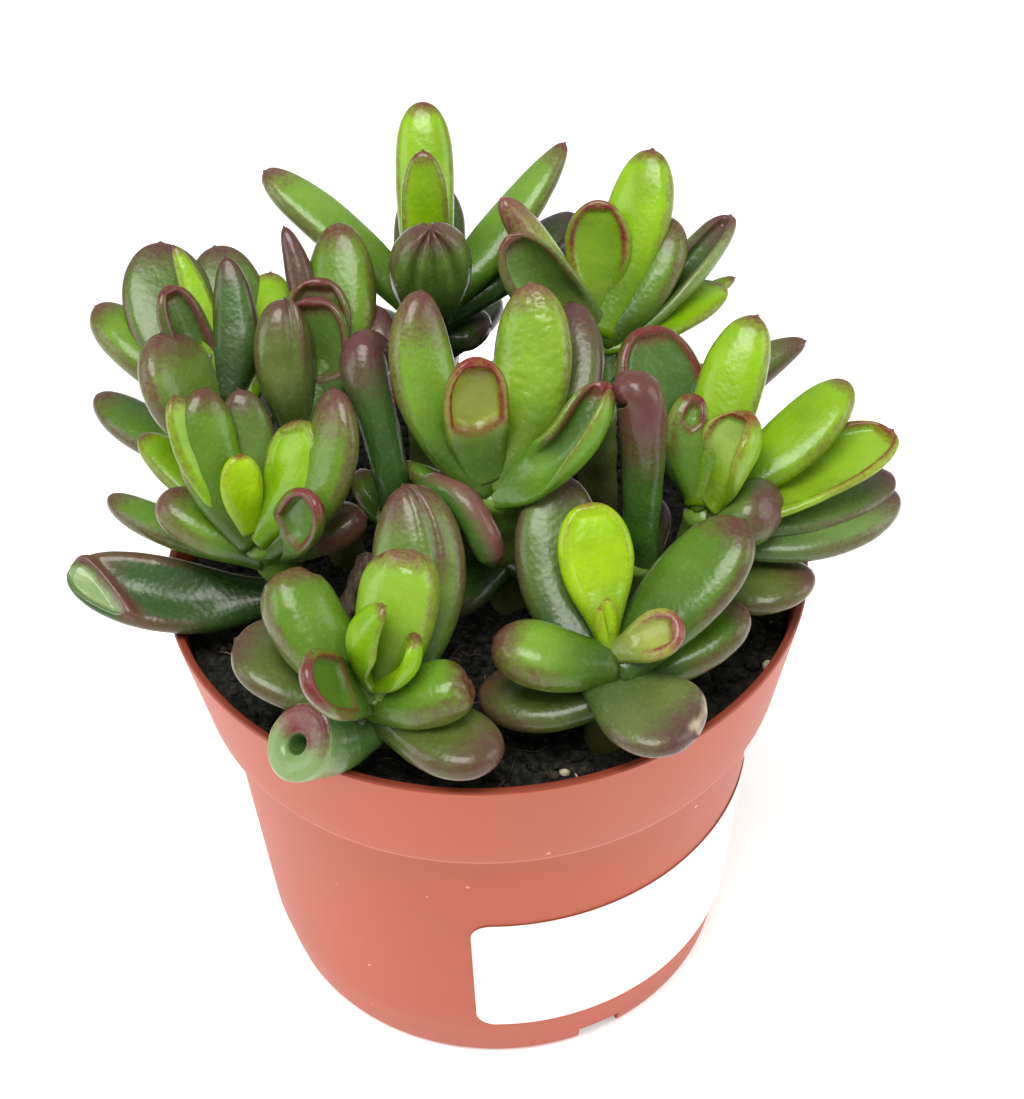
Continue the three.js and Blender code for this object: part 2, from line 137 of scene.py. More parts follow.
def refine(profile, longest):  # splits long runs of a profile so that shading stays even
    out = [profile[0]]
    for a, b in zip(profile, profile[1:]):
        steps = max(1, math.ceil(math.dist(a, b) / longest))
        for k in range(1, steps + 1):
            out.append((a[0] + (b[0] - a[0]) * k / steps, a[1] + (b[1] - a[1]) * k / steps))
    return out


def ringAt(radius, height, turn):  # a level ring about the pot's axis
    return [(radius * math.cos(a), radius * math.sin(a), height) for a in turn]


def withPoles(tones):  # the colours of all rings, then one for each end point
    return np.vstack([tones.reshape(-1, 4), tones[0, 0], tones[-1, 0]])


class MeshPile:  # gathers skins and their point attributes into one mesh
    def __init__(self):
        self.points, self.faces, self.values, self.slots, self.count = [], [], {}, [], 0

    def add(self, points, faces, slot=0, **values):
        self.points.append(points)
        self.faces += [tuple(i + self.count for i in face) for face in faces]
        self.slots += [slot] * len(faces)
        for name, value in values.items():
            value = np.asarray(value, float)
            if value.ndim == 0 or (value.ndim == 1 and len(value) == 4):
                value = np.broadcast_to(value, (len(points),) + value.shape)
            self.values.setdefault(name, []).append(value)
        self.count += len(points)

    def build(self, name, materials, body="root"):
        mesh = bpy.data.meshes.new(name)
        mesh.from_pydata((np.vstack(self.points) * metres).tolist(), [], self.faces)
        for key, parts in self.values.items():
            data = np.concatenate(parts)
            colour = data.ndim == 2
            attribute = mesh.attributes.new(key, "FLOAT_COLOR" if colour else "FLOAT", "POINT")
            attribute.data.foreach_set("color" if colour else "value", data.ravel().astype(np.float32))
        for material in materials:
            mesh.materials.append(material)
        mesh.polygons.foreach_set("material_index", self.slots)
        mesh.polygons.foreach_set("use_smooth", [True] * len(self.faces))
        mesh.update()
        piece = bpy.data.objects.new(name, mesh)
        bpy.context.scene.collection.objects.link(piece)
        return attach(piece, body)


# camera, floor and soft studio light

stage = {
    "cameraPlace": (0, -246.8, 307.06),  # mm
    "cameraLooks": (0.0129, 0.7434, -0.6688),
    "cameraRight": (0.9991, -0.0372, -0.0221),
    "lensMm": 64.37,
    "sensorMm": 36,
    "nearestMm": 10,
    "floorMm": 4000,
    "floorDropMm": 0.2,
    "lightAim": (0, 0, 80),
    "lights": {  # place and size in mm, power, tint
        "topLight": ((-80, -200, 850), (500, 360), 6.3, "FFFDF8"),
        "leftLight": ((-700, -150, 420), (400, 600), 2.2, "FCFDFF"),
        "rightLight": ((700, -100, 420), (400, 600), 2.2, "FFFCF8"),
        "backLight": ((100, 600, 650), (1500, 900), 0.6, "FAFCFF"),
    },
    "skyStrength": 0.46,
    "floorGlow": 0.35,
}
scene = bpy.context.scene
looks = Vector(stage["cameraLooks"]).normalized()
right = (Vector(stage["cameraRight"]) - looks * looks.dot(Vector(stage["cameraRight"]))).normalized()
up = right.cross(looks)
camera = bpy.data.objects.new("camera", bpy.data.cameras.new("camera"))
camera.matrix_world = Matrix((
    (right.x, up.x, -looks.x, stage["cameraPlace"][0] * metres),
    (right.y, up.y, -looks.y, stage["cameraPlace"][1] * metres),
    (right.z, up.z, -looks.z, stage["cameraPlace"][2] * metres),
    (0, 0, 0, 1),
))
camera.data.lens = stage["lensMm"]
camera.data.sensor_width = stage["sensorMm"]
camera.data.clip_start = stage["nearestMm"] * metres
scene.collection.objects.link(camera)
scene.camera = camera
scene.view_settings.view_transform = "Standard"

aim = Vector(stage["lightAim"]) * metres
for name, (place, size, power, tint) in stage["lights"].items():
    lamp = bpy.data.lights.new(name, "AREA")
    lamp.shape = "RECTANGLE"
    lamp.size, lamp.size_y = size[0] * metres, size[1] * metres
    lamp.energy = power
    lamp.color = linear(tint)[:3]
    thing = bpy.data.objects.new(name, lamp)
    thing.location = Vector(place) * metres
    thing.rotation_euler = (aim - thing.location).to_track_quat("-Z", "Y").to_euler()
    scene.collection.objects.link(thing)

world = bpy.data.worlds.new("paleSky")
world.use_nodes = True
world.node_tree.nodes["Background"].inputs[0].default_value = linear("FFFFFF")
world.node_tree.nodes["Background"].inputs[1].default_value = stage["skyStrength"]
scene.world = world

# seamless white paper sweep, matte
paperSweep, tree, _ = newMaterial("paperSweep")
closeMaterial(tree, addNode(tree, "BsdfPrincipled", inputs={
    "Base Color": linear("FAFAF9"), "Roughness": 0.9, "Specular IOR Level": 0.1,
    "Emission Color": linear("FFFFFF"), "Emission Strength": stage["floorGlow"],
}))
half = stage["floorMm"] / 2 * metres
corners = [(-half, -half, 0), (half, -half, 0), (half, half, 0), (-half, half, 0)]
sweepMesh = bpy.data.meshes.new("floor")
sweepMesh.from_pydata(corners, [], [(0, 1, 2, 3)])
sweepMesh.materials.append(paperSweep)
floor = bpy.data.objects.new("floor", sweepMesh)
floor.location.z = -stage["floorDropMm"] * metres
scene.collection.objects.link(floor)
print("stage ready")


# leaf skin: living jade leaf, waxy cuticle over juicy green flesh, so soft broad highlights
# and a little light through the flesh; the cuticle reddens at tips and margins

cuticle = {
    "blotchMm": 7,
    "blotchTone": "D9DEC8",
    "raggedMm": 1.6,  # grain of the red flush's edge
    "speckleMm": 0.55,
    "poreMm": 1.1,  # water pores, pale dots
    "poreTone": "BFCF8C",
    "poreShow": 0.05,
    "cellMm": 0.85,  # skin cells show as a fine orange peel
    "unevenMm": 2.2,
    "relief": (0.5, 0.22),  # strength and mm
    "roughness": (0.24, 0.36),
    "flesh": {"Subsurface Weight": 0.18, "Subsurface Radius": (0.7, 1.0, 0.25), "Subsurface Scale": 0.0016},
    "wax": {"Coat Weight": 0.34, "Coat Roughness": 0.12, "Coat IOR": 1.38},
    "gloss": {"IOR": 1.40, "Specular IOR Level": 0.38},
}


def makeSkin():
    material, tree, place = newMaterial("jadeLeafCuticle")
    skin, flushTone, flush = (addNode(tree, "Attribute", {"attribute_name": name})
                              for name in ("skin", "flushTone", "flush"))
    blotch = addNode(tree, "TexNoise", inputs={
        "Vector": place, "Scale": perMm(cuticle["blotchMm"]), "Detail": 3.0,
    })
    ragged = addNode(tree, "TexNoise", inputs={
        "Vector": place, "Scale": perMm(cuticle["raggedMm"]), "Detail": 4.0, "Roughness": 0.6,
    })
    pores = addNode(tree, "TexVoronoi", inputs={"Vector": place, "Scale": perMm(cuticle["poreMm"])})
    poreDot = addNode(tree, "MapRange", {"interpolation_type": "SMOOTHSTEP"}, {
        "Value": pores.outputs["Distance"], "From Min": 0.1, "From Max": 0.34, "To Min": 1.0, "To Max": 0.0,
    })
    shade = addNode(tree, "MapRange", inputs={
        "Value": blotch.outputs["Fac"], "From Min": 0.3, "From Max": 0.7,
    })
    darker = addNode(tree, "Mix", {"data_type": "RGBA", "blend_type": "MULTIPLY"}, {
        0: 1.0, 6: skin.outputs["Color"], 7: linear(cuticle["blotchTone"]),
    })
    mottled = addNode(tree, "Mix", {"data_type": "RGBA"}, {
        0: shade.outputs[0], 6: darker.outputs[2], 7: skin.outputs["Color"],
    })
    dotAmount = addNode(tree, "Math", {"operation": "MULTIPLY"}, {
        0: poreDot.outputs[0], 1: cuticle["poreShow"],
    })
    dotted = addNode(tree, "Mix", {"data_type": "RGBA"}, {
        0: dotAmount.outputs[0], 6: mottled.outputs[2], 7: linear(cuticle["poreTone"]),
    })
    speckle = addNode(tree, "TexNoise", inputs={
        "Vector": place, "Scale": perMm(cuticle["speckleMm"]), "Detail": 2.0,
    })
    grains = addNode(tree, "Math", {"operation": "ADD"}, {
        0: ragged.outputs["Fac"], 1: speckle.outputs["Fac"],
    })
    spread = addNode(tree, "Math", {"operation": "MULTIPLY_ADD"}, {
        0: grains.outputs[0], 1: 0.9, 2: -0.9,
    })
    loose = addNode(tree, "Math", {"operation": "ADD"}, {0: flush.outputs["Fac"], 1: spread.outputs[0]})
    keep = addNode(tree, "MapRange", inputs={
        "Value": flush.outputs["Fac"], "From Min": 0.02, "From Max": 0.3,
    })
    gated = addNode(tree, "Math", {"operation": "MULTIPLY", "use_clamp": True}, {
        0: loose.outputs[0], 1: keep.outputs[0],
    })
    blushed = addNode(tree, "Mix", {"data_type": "RGBA"}, {
        0: gated.outputs[0], 6: dotted.outputs[2], 7: flushTone.outputs["Color"],
    })
    roughness = addNode(tree, "MapRange", inputs={
        "Value": ragged.outputs["Fac"], "From Min": 0.3, "From Max": 0.7,
        "To Min": cuticle["roughness"][0], "To Max": cuticle["roughness"][1],
    })
    cells = addNode(tree, "TexVoronoi", {"feature": "SMOOTH_F1"}, {
        "Vector": place, "Scale": perMm(cuticle["cellMm"]), "Smoothness": 0.6,
    })
    fine = addNode(tree, "TexNoise", inputs={
        "Vector": place, "Scale": perMm(cuticle["unevenMm"]), "Detail": 3.0,
    })
    relief = addNode(tree, "Math", {"operation": "MULTIPLY_ADD"}, {
        0: cells.outputs["Distance"], 1: 0.55, 2: fine.outputs["Fac"],
    })
    strength, depth = cuticle["relief"]
    bump = addNode(tree, "Bump", inputs={
        "Strength": strength, "Distance": depth * metres, "Height": relief.outputs[0],
    })
    closeMaterial(tree, addNode(tree, "BsdfPrincipled", inputs={
        "Base Color": blushed.outputs[2], "Roughness": roughness.outputs[0], "Normal": bump.outputs[0],
        **cuticle["gloss"], **cuticle["flesh"], **cuticle["wax"],
    }))
    return material


leafSkin = makeSkin()

# neck width and widest place as shares of the leaf, how blunt the tip is, how deep the inner face
# lies below its raised rim in mm
leafForms = {
    "paddle": (0.66, 0.60, 2.3, 0),
    "spoon": (0.46, 0.64, 2.6, 0.7),
    "club": (0.74, 0.62, 2.9, 0),
    "fold": (0.66, 0.60, 2.6, 1.0),
    "tube": (0.60, 0.62, 3.0, 0.8),
    "petal": (0.62, 0.45, 1.5, 0),
    "disc": (0.24, 0.66, 2.2, 0.7),
    "oval": (0.42, 0.60, 2.1, 0),
}

# colour low on the leaf, on its blade, inside a spoon, of the red flush; flush reach and rim strength
leafLooks = {
    "youngLime": ("80A402", "96BC05", "90C212", "72411E", 0.04, 0.30),
    "lime": ("6A920A", "80A811", "90B51B", "63332A", 0.08, 0.40),
    "light": ("5F7E1A", "7DA029", "8FAA3A", "6D443A", 0.12, 0.40),
    "paleBlush": ("6A8A2A", "86A044", "86A044", "72423C", 0.32, 0.50),
    "mid": ("476615", "608420", "6E842B", "59312A", 0.14, 0.55),
    "midBlush": ("47681A", "688C28", "6E862E", "5D3533", 0.24, 0.60),
    "fresh": ("527A1E", "6C9230", "6C9230", "5E3A32", 0.14, 0.50),
    "green": ("3E5E1C", "517221", "657A30", "542E29", 0.16, 0.65),
    "duskGreen": ("55782A", "668034", "688038", "5A3732", 0.20, 0.70),
    "dusk": ("4E6C36", "627A42", "647C46", "5A3735", 0.20, 0.60),
    "deep": ("33511F", "446227", "4C642D", "4D2D29", 0.18, 0.65),
    "deepOlive": ("3A5222", "566230", "566230", "51392D", 0.16, 0.65),
    "dark": ("2A4820", "3C582B", "3E5A2D", "462B30", 0.20, 0.60),
    "olive": ("465A24", "5B682F", "616C39", "553A31", 0.24, 0.60),
    "plum": ("455E2B", "596433", "5C6438", "533534", 0.27, 0.65),
    "plumGreen": ("3C5A22", "5A7430", "586C30", "543531", 0.15, 0.70),
    "plumTube": ("48682A", "586A38", "48502C", "5C3732", 0.34, 0.80),
    "blush": ("7D9037", "97A048", "96A848", "793935", 0.16, 0.95),
    "maroon": ("44562F", "56543A", "4C4A32", "512F2F", 0.36, 0.80),
    "redSpoon": ("567A1C", "66882A", "B8B44C", "741820", 0.13, 1.00),
    "redFold": ("3E601B", "527625", "567A30", "68232A", 0.14, 1.00),
    "redTube": ("587E20", "68902A", "4C6A2A", "6A2228", 0.12, 1.00),
    "redDeep": ("3A5A22", "4C6A28", "5C7234", "5F282A", 0.12, 1.00),
    "darkSpoon": ("3A5622", "466428", "263C1E", "6A2026", 0.09, 1.00),
    "limeSpoon": ("739411", "7EA41D", "84AC24", "6E2226", 0.08, 1.00),
    "paleSpoon": ("7EA018", "88AC28", "A2C05C", "742F1D", 0.06, 1.00),
    "duskFold": ("6A8A44", "76904C", "44602E", "5D3739", 0.22, 0.80),
    "bronzeFold": ("5E7834", "788A4C", "5E8236", "63382E", 0.12, 0.90),
}


def plain(azimuth, rise, length, width, thick, bow, sway, down, *look):  # the commonest leaf
    return ("paddle", azimuth, rise, length, width, thick, 10, 0, bow, sway, 0, down, *look)


def hidden(azimuth, rise, length, width, down):  # a dark leaf deep in the crown
    return plain(azimuth, rise, length, width, 5, 0.5, 0, down, "dark")


# each leaf: form, azimuth, rise, length, width, thickness, fold, cup, bow, sway, roll, distance below the
# crown, look and, on some, an extra; azimuth, rise, fold and roll in degrees, the rest in mm;
# plain and hidden leave out what those leaves share
shoots = {
    "shoot_front_left": {"foot": (-17, -36), "crown": (-18, -42, 97), "stem": (3.2, 3.4), "leaves": [
        ("petal", 198, 103, 14.5, 9.2, 2.6, 110, 0, 3, 1, 0, -1, "lime"),
        ("spoon", 3, 46, 11.5, 8.2, 2.6, 140, 1, 1.5, 1.5, 0, -1, "lime"),
        ("club", 134, 38, 22, 11.8, 9.5, 0, 0, 0, -2.5, 0, 2, "mid", "dimpled"),
        ("club", 64, 54, 22, 12.4, 9.5, 0, 0, 0, 1, 0, 2, "light", "dimpled"),
        ("paddle", 78, 39, 33, 14.6, 7, 30, 0, 2, 4, 0, 5, "duskGreen", "creased"),
        ("tube", 240, 46, 26, 11.6, 3.2, 90, 1.5, 0.5, 0.5, -50, 4, "redFold", "mouth"),
        ("club", 348, 21, 16, 10.6, 8.5, 0, 0, 0, 1.5, 0, 4.5, "mid", "dimpled"),
        ("paddle", 322, 2, 22, 13.4, 6.5, 30, 0, 0.5, -0.5, 0, 7.5, "olive"),
        ("paddle", 159, 16, 23.5, 16.6, 5.5, 30, 0, 0.5, 0, 0, 6, "deepOlive"),
    ]},
    "shoot_front_right": {"foot": (17, -39), "crown": (18, -38, 96), "stem": (3, 3.2), "leaves": [
        ("disc", 98, 46, 24, 11.6, 4.2, 25, 0, 0.5, 0, 0, 0, "youngLime"),
        ("paddle", 93, 60, 9.5, 3, 2, 60, 0, 0.5, 0, 0, 0, "youngLime"),
        ("paddle", 116, 65, 8.5, 1.8, 2, 60, 0, 0.5, 0, 0, 0, "youngLime"),
        ("paddle", 101, 34, 32, 14.2, 6.5, 20, 0, 2, -3.5, 0, 3, "plumGreen"),
        ("paddle", 35, 31, 30.5, 14.2, 6.5, 20, 0, 1, 0, 0, 2, "green"),
        ("paddle", 25, 11, 25, 11.2, 6, 20, 0, 1, 0, 0, 5, "green"),
        ("spoon", 351, 30, 12.5, 8.4, 3, 100, 0.5, 0.5, -0.5, 28, -1, "blush"),
        plain(171, 13, 18, 11.4, 8, 0, -1.5, 1, "midBlush"),
        ("paddle", 162, -8, 19, 14.6, 6, 20, 0, 0.5, -2.5, 0, 6, "olive"),
        ("paddle", 311, 1, 18, 16.6, 5.5, 20, 0, 0.5, 1, 0, 3, "plum", "scarred"),
    ]},
    "shoot_left": {"foot": (-29, -8), "crown": (-36, -14, 102), "stem": (3.4, 3.2), "leaves": [
        ("paddle", 100, 72, 13, 6.8, 3, 60, 0, 0.5, -0.5, 12, -2, "youngLime"),
        ("spoon", 56, 50, 19.5, 11.2, 5.5, 10, 0, 0.5, 3, 0, -0.5, "lime"),
        plain(118, 57, 25, 10.2, 5.5, 0.5, -3, 0, "mid"),
        plain(100, 53, 25, 8.8, 5, 0.5, 0.5, 2, "plumGreen"),
        plain(40, 54, 28, 10.4, 5.5, 1, 5, 2, "midBlush"),
        ("tube", 332, 54, 19, 9.8, 3.2, 100, 1, 0.5, 1, 70, 3, "redFold", "mouth"),
        ("paddle", 11, 14, 16.5, 8.6, 6, 40, 0, 0.5, -1, 10, 4, "plumTube"),
        ("club", 160, 24, 19, 9.4, 6.5, 10, 0, 0.5, -1, 0, 3.5, "midBlush"),
        plain(152, 3, 31, 6.8, 4.5, 0.5, -1.5, 5, "green"),
        ("oval", 182, 12, 37, 13.6, 5, 120, 0, 1.5, -3, -30, 15, "dark", "curled"),
        ("paddle", 141, 57, 27, 8, 3, 50, 0, 0.5, -1.5, 0, 1, "lime"),
        ("paddle", 136, 16, 29, 8.2, 3.5, 30, 0, 0.5, 0.5, 0, 2, "lime"),
    ]},
    "shoot_back_left": {"foot": (-32, 8), "crown": (-41, 6, 114), "stem": (3.6, 3), "leaves": [
        plain(115, 33, 31.5, 15.6, 4.5, 1, -2.5, 2, "plumGreen"),
        plain(96, 29, 30, 13, 4.5, 1, 1.5, 2, "plumGreen"),
        ("petal", 113, 46, 26.5, 5.2, 3, 30, 0, 0.5, 1, 0, 0, "lime"),
        ("petal", 87, 47, 23.5, 8, 4.5, 10, 0, 0.5, 1.5, 0, 0, "deep"),
        plain(74, 26, 26, 10, 4, 0.5, 1, 2, "lime"),
        ("tube", 138, 57, 23.5, 9, 3.2, 100, 1.5, 0.5, -0.5, 0, 3, "redDeep", "mouth"),
        plain(143, 20, 29.5, 10.4, 6, 0.5, -0.5, 2, "mid"),
        ("paddle", 141, 20, 22, 5.6, 3, 30, 0, 0.5, -0.5, 0, 3, "lime"),
        ("oval", 161, 59, 22.5, 18.6, 7.5, 10, 0, 0.5, -3.5, 0, 8, "duskGreen"),
        plain(150, 8, 33, 9.4, 5, 0.5, -2.5, 15, "green"),
        hidden(95, -6, 26, 11, 9),
        hidden(60, -4, 20, 10, 12),
    ]},
    "shoot_left_inner": {"foot": (-24, 6), "crown": (-29, 2, 112), "stem": (3.2, 3), "leaves": [
        plain(100, 62, 22.5, 9.6, 7, -1, -1.5, 3, "olive", "creased"),
        ("tube", 75, 57, 22, 14, 3.2, 100, 1.5, 0.5, 1, 0, 2, "redDeep", "mouth"),
        ("tube", 75, 50, 25, 13, 3.2, 100, 1.5, 0.5, 0.5, 0, 2, "redDeep", "mouth"),
        ("oval", 74, 43, 34, 12, 6.5, 10, 0, 1, 2.5, 0, 1, "mid"),
        plain(52, 34, 24, 10, 5, 0.5, 2.5, 2, "maroon"),
        plain(95, 50, 34, 4.8, 4.5, 0.5, 2.5, 3, "maroon"),
    ]},
    "shoot_middle_left": {"foot": (-13, -6), "crown": (-15, -7, 101), "stem": (2.8, 2.8), "leaves": [
        plain(118, 17, 12.5, 5.4, 4, 0.5, -0.5, 4, "midBlush"),
        hidden(60, 10, 15, 8, 10),
    ]},
    "shoot_centre": {"foot": (4, -6), "crown": (1, -12, 109), "stem": (3.8, 4.2), "leaves": [
        plain(118, 52, 33, 10.4, 7, 1.5, -4, 1, "midBlush"),
        ("tube", 102, 70, 20.5, 11.6, 2.8, 110, 1.5, 1, -1, 0, -1.5, "redSpoon", "mouth"),
        plain(70, 49, 33, 12.6, 7, 1.5, 2.5, 1, "light", "pimpled"),
        plain(62, 31, 34.5, 10.6, 5, 1, 5, 2, "plum"),
        ("paddle", 55, 32, 14, 4.2, 2, 40, 0, 0.5, 1, 0, 0, "lime"),
        ("tube", 15, 39, 25, 12.2, 3, 240, 0.5, 0.5, 5, 15, 0, "redTube"),
        plain(152, 4, 16, 4, 3.5, 0.5, -1, 2, "mid"),
        plain(215, 0, 20, 13, 6, 0.5, 0, 18, "dark"),
        plain(335, 2, 15, 11, 6, 0.5, 0, 17, "dark"),
        hidden(185, 12, 14, 9, 12),
    ]},
    "shoot_middle_right": {"foot": (25, -10), "crown": (24, -13, 94), "stem": (3.2, 3.4), "leaves": [
        plain(150, 35, 9, 6, 4, 0.5, 0, 2, "dark"),
        plain(74, 20, 15.5, 7.6, 5, 0.5, 0, 6, "maroon"),
    ]},
    "shoot_back": {"foot": (-10, 18), "crown": (-8, 23, 118), "stem": (3.6, 3), "leaves": [
        ("club", 89, 49, 35, 9.8, 6, 10, 0, 1, 0, 0, 0, "lime"),
        ("paddle", 87, 72, 27, 8, 3.5, 60, 0, 0.5, 0, 0, 0, "lime"),
        plain(280, 72, 22, 13.4, 9, 1, 0, 0, "plumGreen", "pleated"),
        plain(148, 32, 36.5, 9.4, 5, -1, 0, 1, "fresh"),
        ("petal", 41, 32, 37.5, 9, 5, 10, 0, 0.5, 0.5, 0, 1, "fresh"),
        plain(37, 14, 33, 8.4, 5, 0.5, 0.5, 2, "dark"),
        plain(23, 1, 11.5, 10, 5, 0.5, -2, 6, "dark"),
        plain(88, 25, 29.5, 12.5, 5, 0.5, 0, 3, "deep"),
        hidden(125, -8, 25, 11, 9),
        hidden(62, -6, 24, 10, 8),
        hidden(90, -12, 26, 11, 14),
    ]},
    "shoot_back_right": {"foot": (20, 16), "crown": (20, 20, 114), "stem": (3.4, 3), "leaves": [
        ("disc", 87, 61, 22.5, 11.2, 3, 60, 1.5, 0.5, 0, 0, 0, "limeSpoon"),
        plain(61, 49, 32, 11.4, 6, 1, 0.5, 0, "lime"),
        plain(46, 39, 24, 11, 6, 0.5, 1.5, 1, "midBlush"),
        ("fold", 37, 24, 32.5, 8.8, 3, 180, 0, 0.5, 2.5, 0, 2, "duskFold"),
        ("paddle", 27, 7, 24.5, 11, 3, 70, 0, 0.5, 2, 0, 1, "lime"),
        plain(29, 5, 28, 3.8, 3, 0.5, 0, 1, "lime"),
        ("fold", 184, 57, 27, 12.4, 3, 120, 1, 0.5, -1, -75, 1, "bronzeFold"),
        hidden(95, 8, 30, 11, 4),
        hidden(58, -5, 28, 11, 8),
        hidden(5, -8, 22, 10, 8),
        hidden(125, -10, 22, 10, 10),
        plain(158, 56, 29.5, 7, 5, 0.5, 1.5, 1, "paleBlush"),
    ]},
    "shoot_right": {"foot": (33, -8), "crown": (35, -12, 103), "stem": (3.6, 3.4), "leaves": [
        plain(65, 45, 31.5, 10.6, 6.5, 0.5, -1.5, 0, "lime"),
        plain(55, 22, 36, 7.6, 5, 0.5, -8, 2, "plumGreen"),
        ("tube", 93, 49, 18, 7.4, 4.4, 110, 0, 0.5, -2, 0, 0, "redTube", "highMouth"),
        ("spoon", 31, 56, 16, 15.4, 3.6, 160, 1.5, 0.5, 0.5, -15, -1.5, "paleSpoon"),
        ("oval", 33, 24, 31.5, 11.2, 5, 10, 0, 0.5, 1, 0, 1, "lime"),
        ("fold", 19, 10, 33.5, 14.8, 3, 80, 0.5, 1, 1.5, 0, 1, "paleSpoon"),
        ("paddle", 18, -1, 33.5, 11.6, 4, 20, 0, 0.5, 3, 0, 3, "dusk"),
        ("paddle", 12, 2, 33, 12.4, 5, 20, 0, 0.5, 5, 0, 6, "dusk"),
        ("club", 338, 34, 14, 12.6, 9, 10, 0, 0, -0.5, 0, 5, "plumGreen"),
        plain(341, 4, 19, 12.6, 5, 0.5, 5, 12, "olive"),
        ("disc", 112, 43, 31, 15.6, 5, 50, 1, 1, -0.5, 0, 1, "darkSpoon", "mouth"),
        hidden(50, -6, 28, 11, 9),
    ]},
}
leaf = {
    "plainMesh": (34, 28),  # rings, sides
    "rimMesh": (60, 56),
    "fineMesh": (110, 80),
    "ringBunching": 1.5,  # rings stand closer towards the tip
    "lastRing": 0.9985,
    "roundness": 2 / 2.3,  # 1 would be an ellipse
    "swelling": (8.0, 0.16),  # slow swelling of the flesh: size and depth in mm, as in the next lines
    "grain": (2.6, 0.045),
    "dimples": (1.8, 0.42),  # lumps on blunt tips
    "pits": (0.75, 0.26),  # on glossy young blades
    "pleatMm": 1.1,
    "pleatWide": 0.11,
    "pleats": (-0.45, 0.02, 0.47),
    "rimMm": (0.7, 2.0),  # where the rim ends and where the hollow is full
    "crestMm": (0.75, 0.55),  # how far in the crest of the rim lies, and how wide its red line is
    "mouths": {"mouth": 0.34, "highMouth": 0.60},  # where the hollow of a funnel leaf starts
    "mouthSlope": 0.55,
    "mouthRoundMm": 2.2,
    "creaseMm": 0.55,
    "creaseWide": 0.16,
    "creases": (0.62, 0.28),  # where the fold beside the tip has its ridge and its groove
    "hoodMm": 0.8,
    "hoodEdge": (0.97, 0.26),  # where the hood starts at one margin, and how much lower at the other
    "hoodSide": -1,
    # pale tone painted beyond the hood's ridge as a highlight
    "hoodHighlightTone": "8FA873",
    "hoodRed": "64403A",
    "marginMm": (0.25, 1.0),  # how far the red margin reaches in
    "tipPointMm": 0.45,
    "toneSpread": 0.10,  # how much leaves differ in brightness
    "corkTone": "A89A80",
    "stemSides": 22,
    "stemLow": "5A5A38",
    "stemTop": "64862F",
    "soilTop": 80.0,
    "stemFoot": 75.9,
    "stemFlush": "6E5038",
    "knuckles": (0.05, 7.5),  # swelling where old leaves sat: share and mm apart
}


def stemPoint(shoot, z):
    x, y, top = shoot["crown"]
    share = max((z - leaf["soilTop"]) / (top - leaf["soilTop"]), 0)
    footX, footY = shoot["foot"]
    return np.array([footX + (x - footX) * share, footY + (y - footY) * share, z])


def unit(v):
    return v / np.linalg.norm(v, axis=-1, keepdims=True)


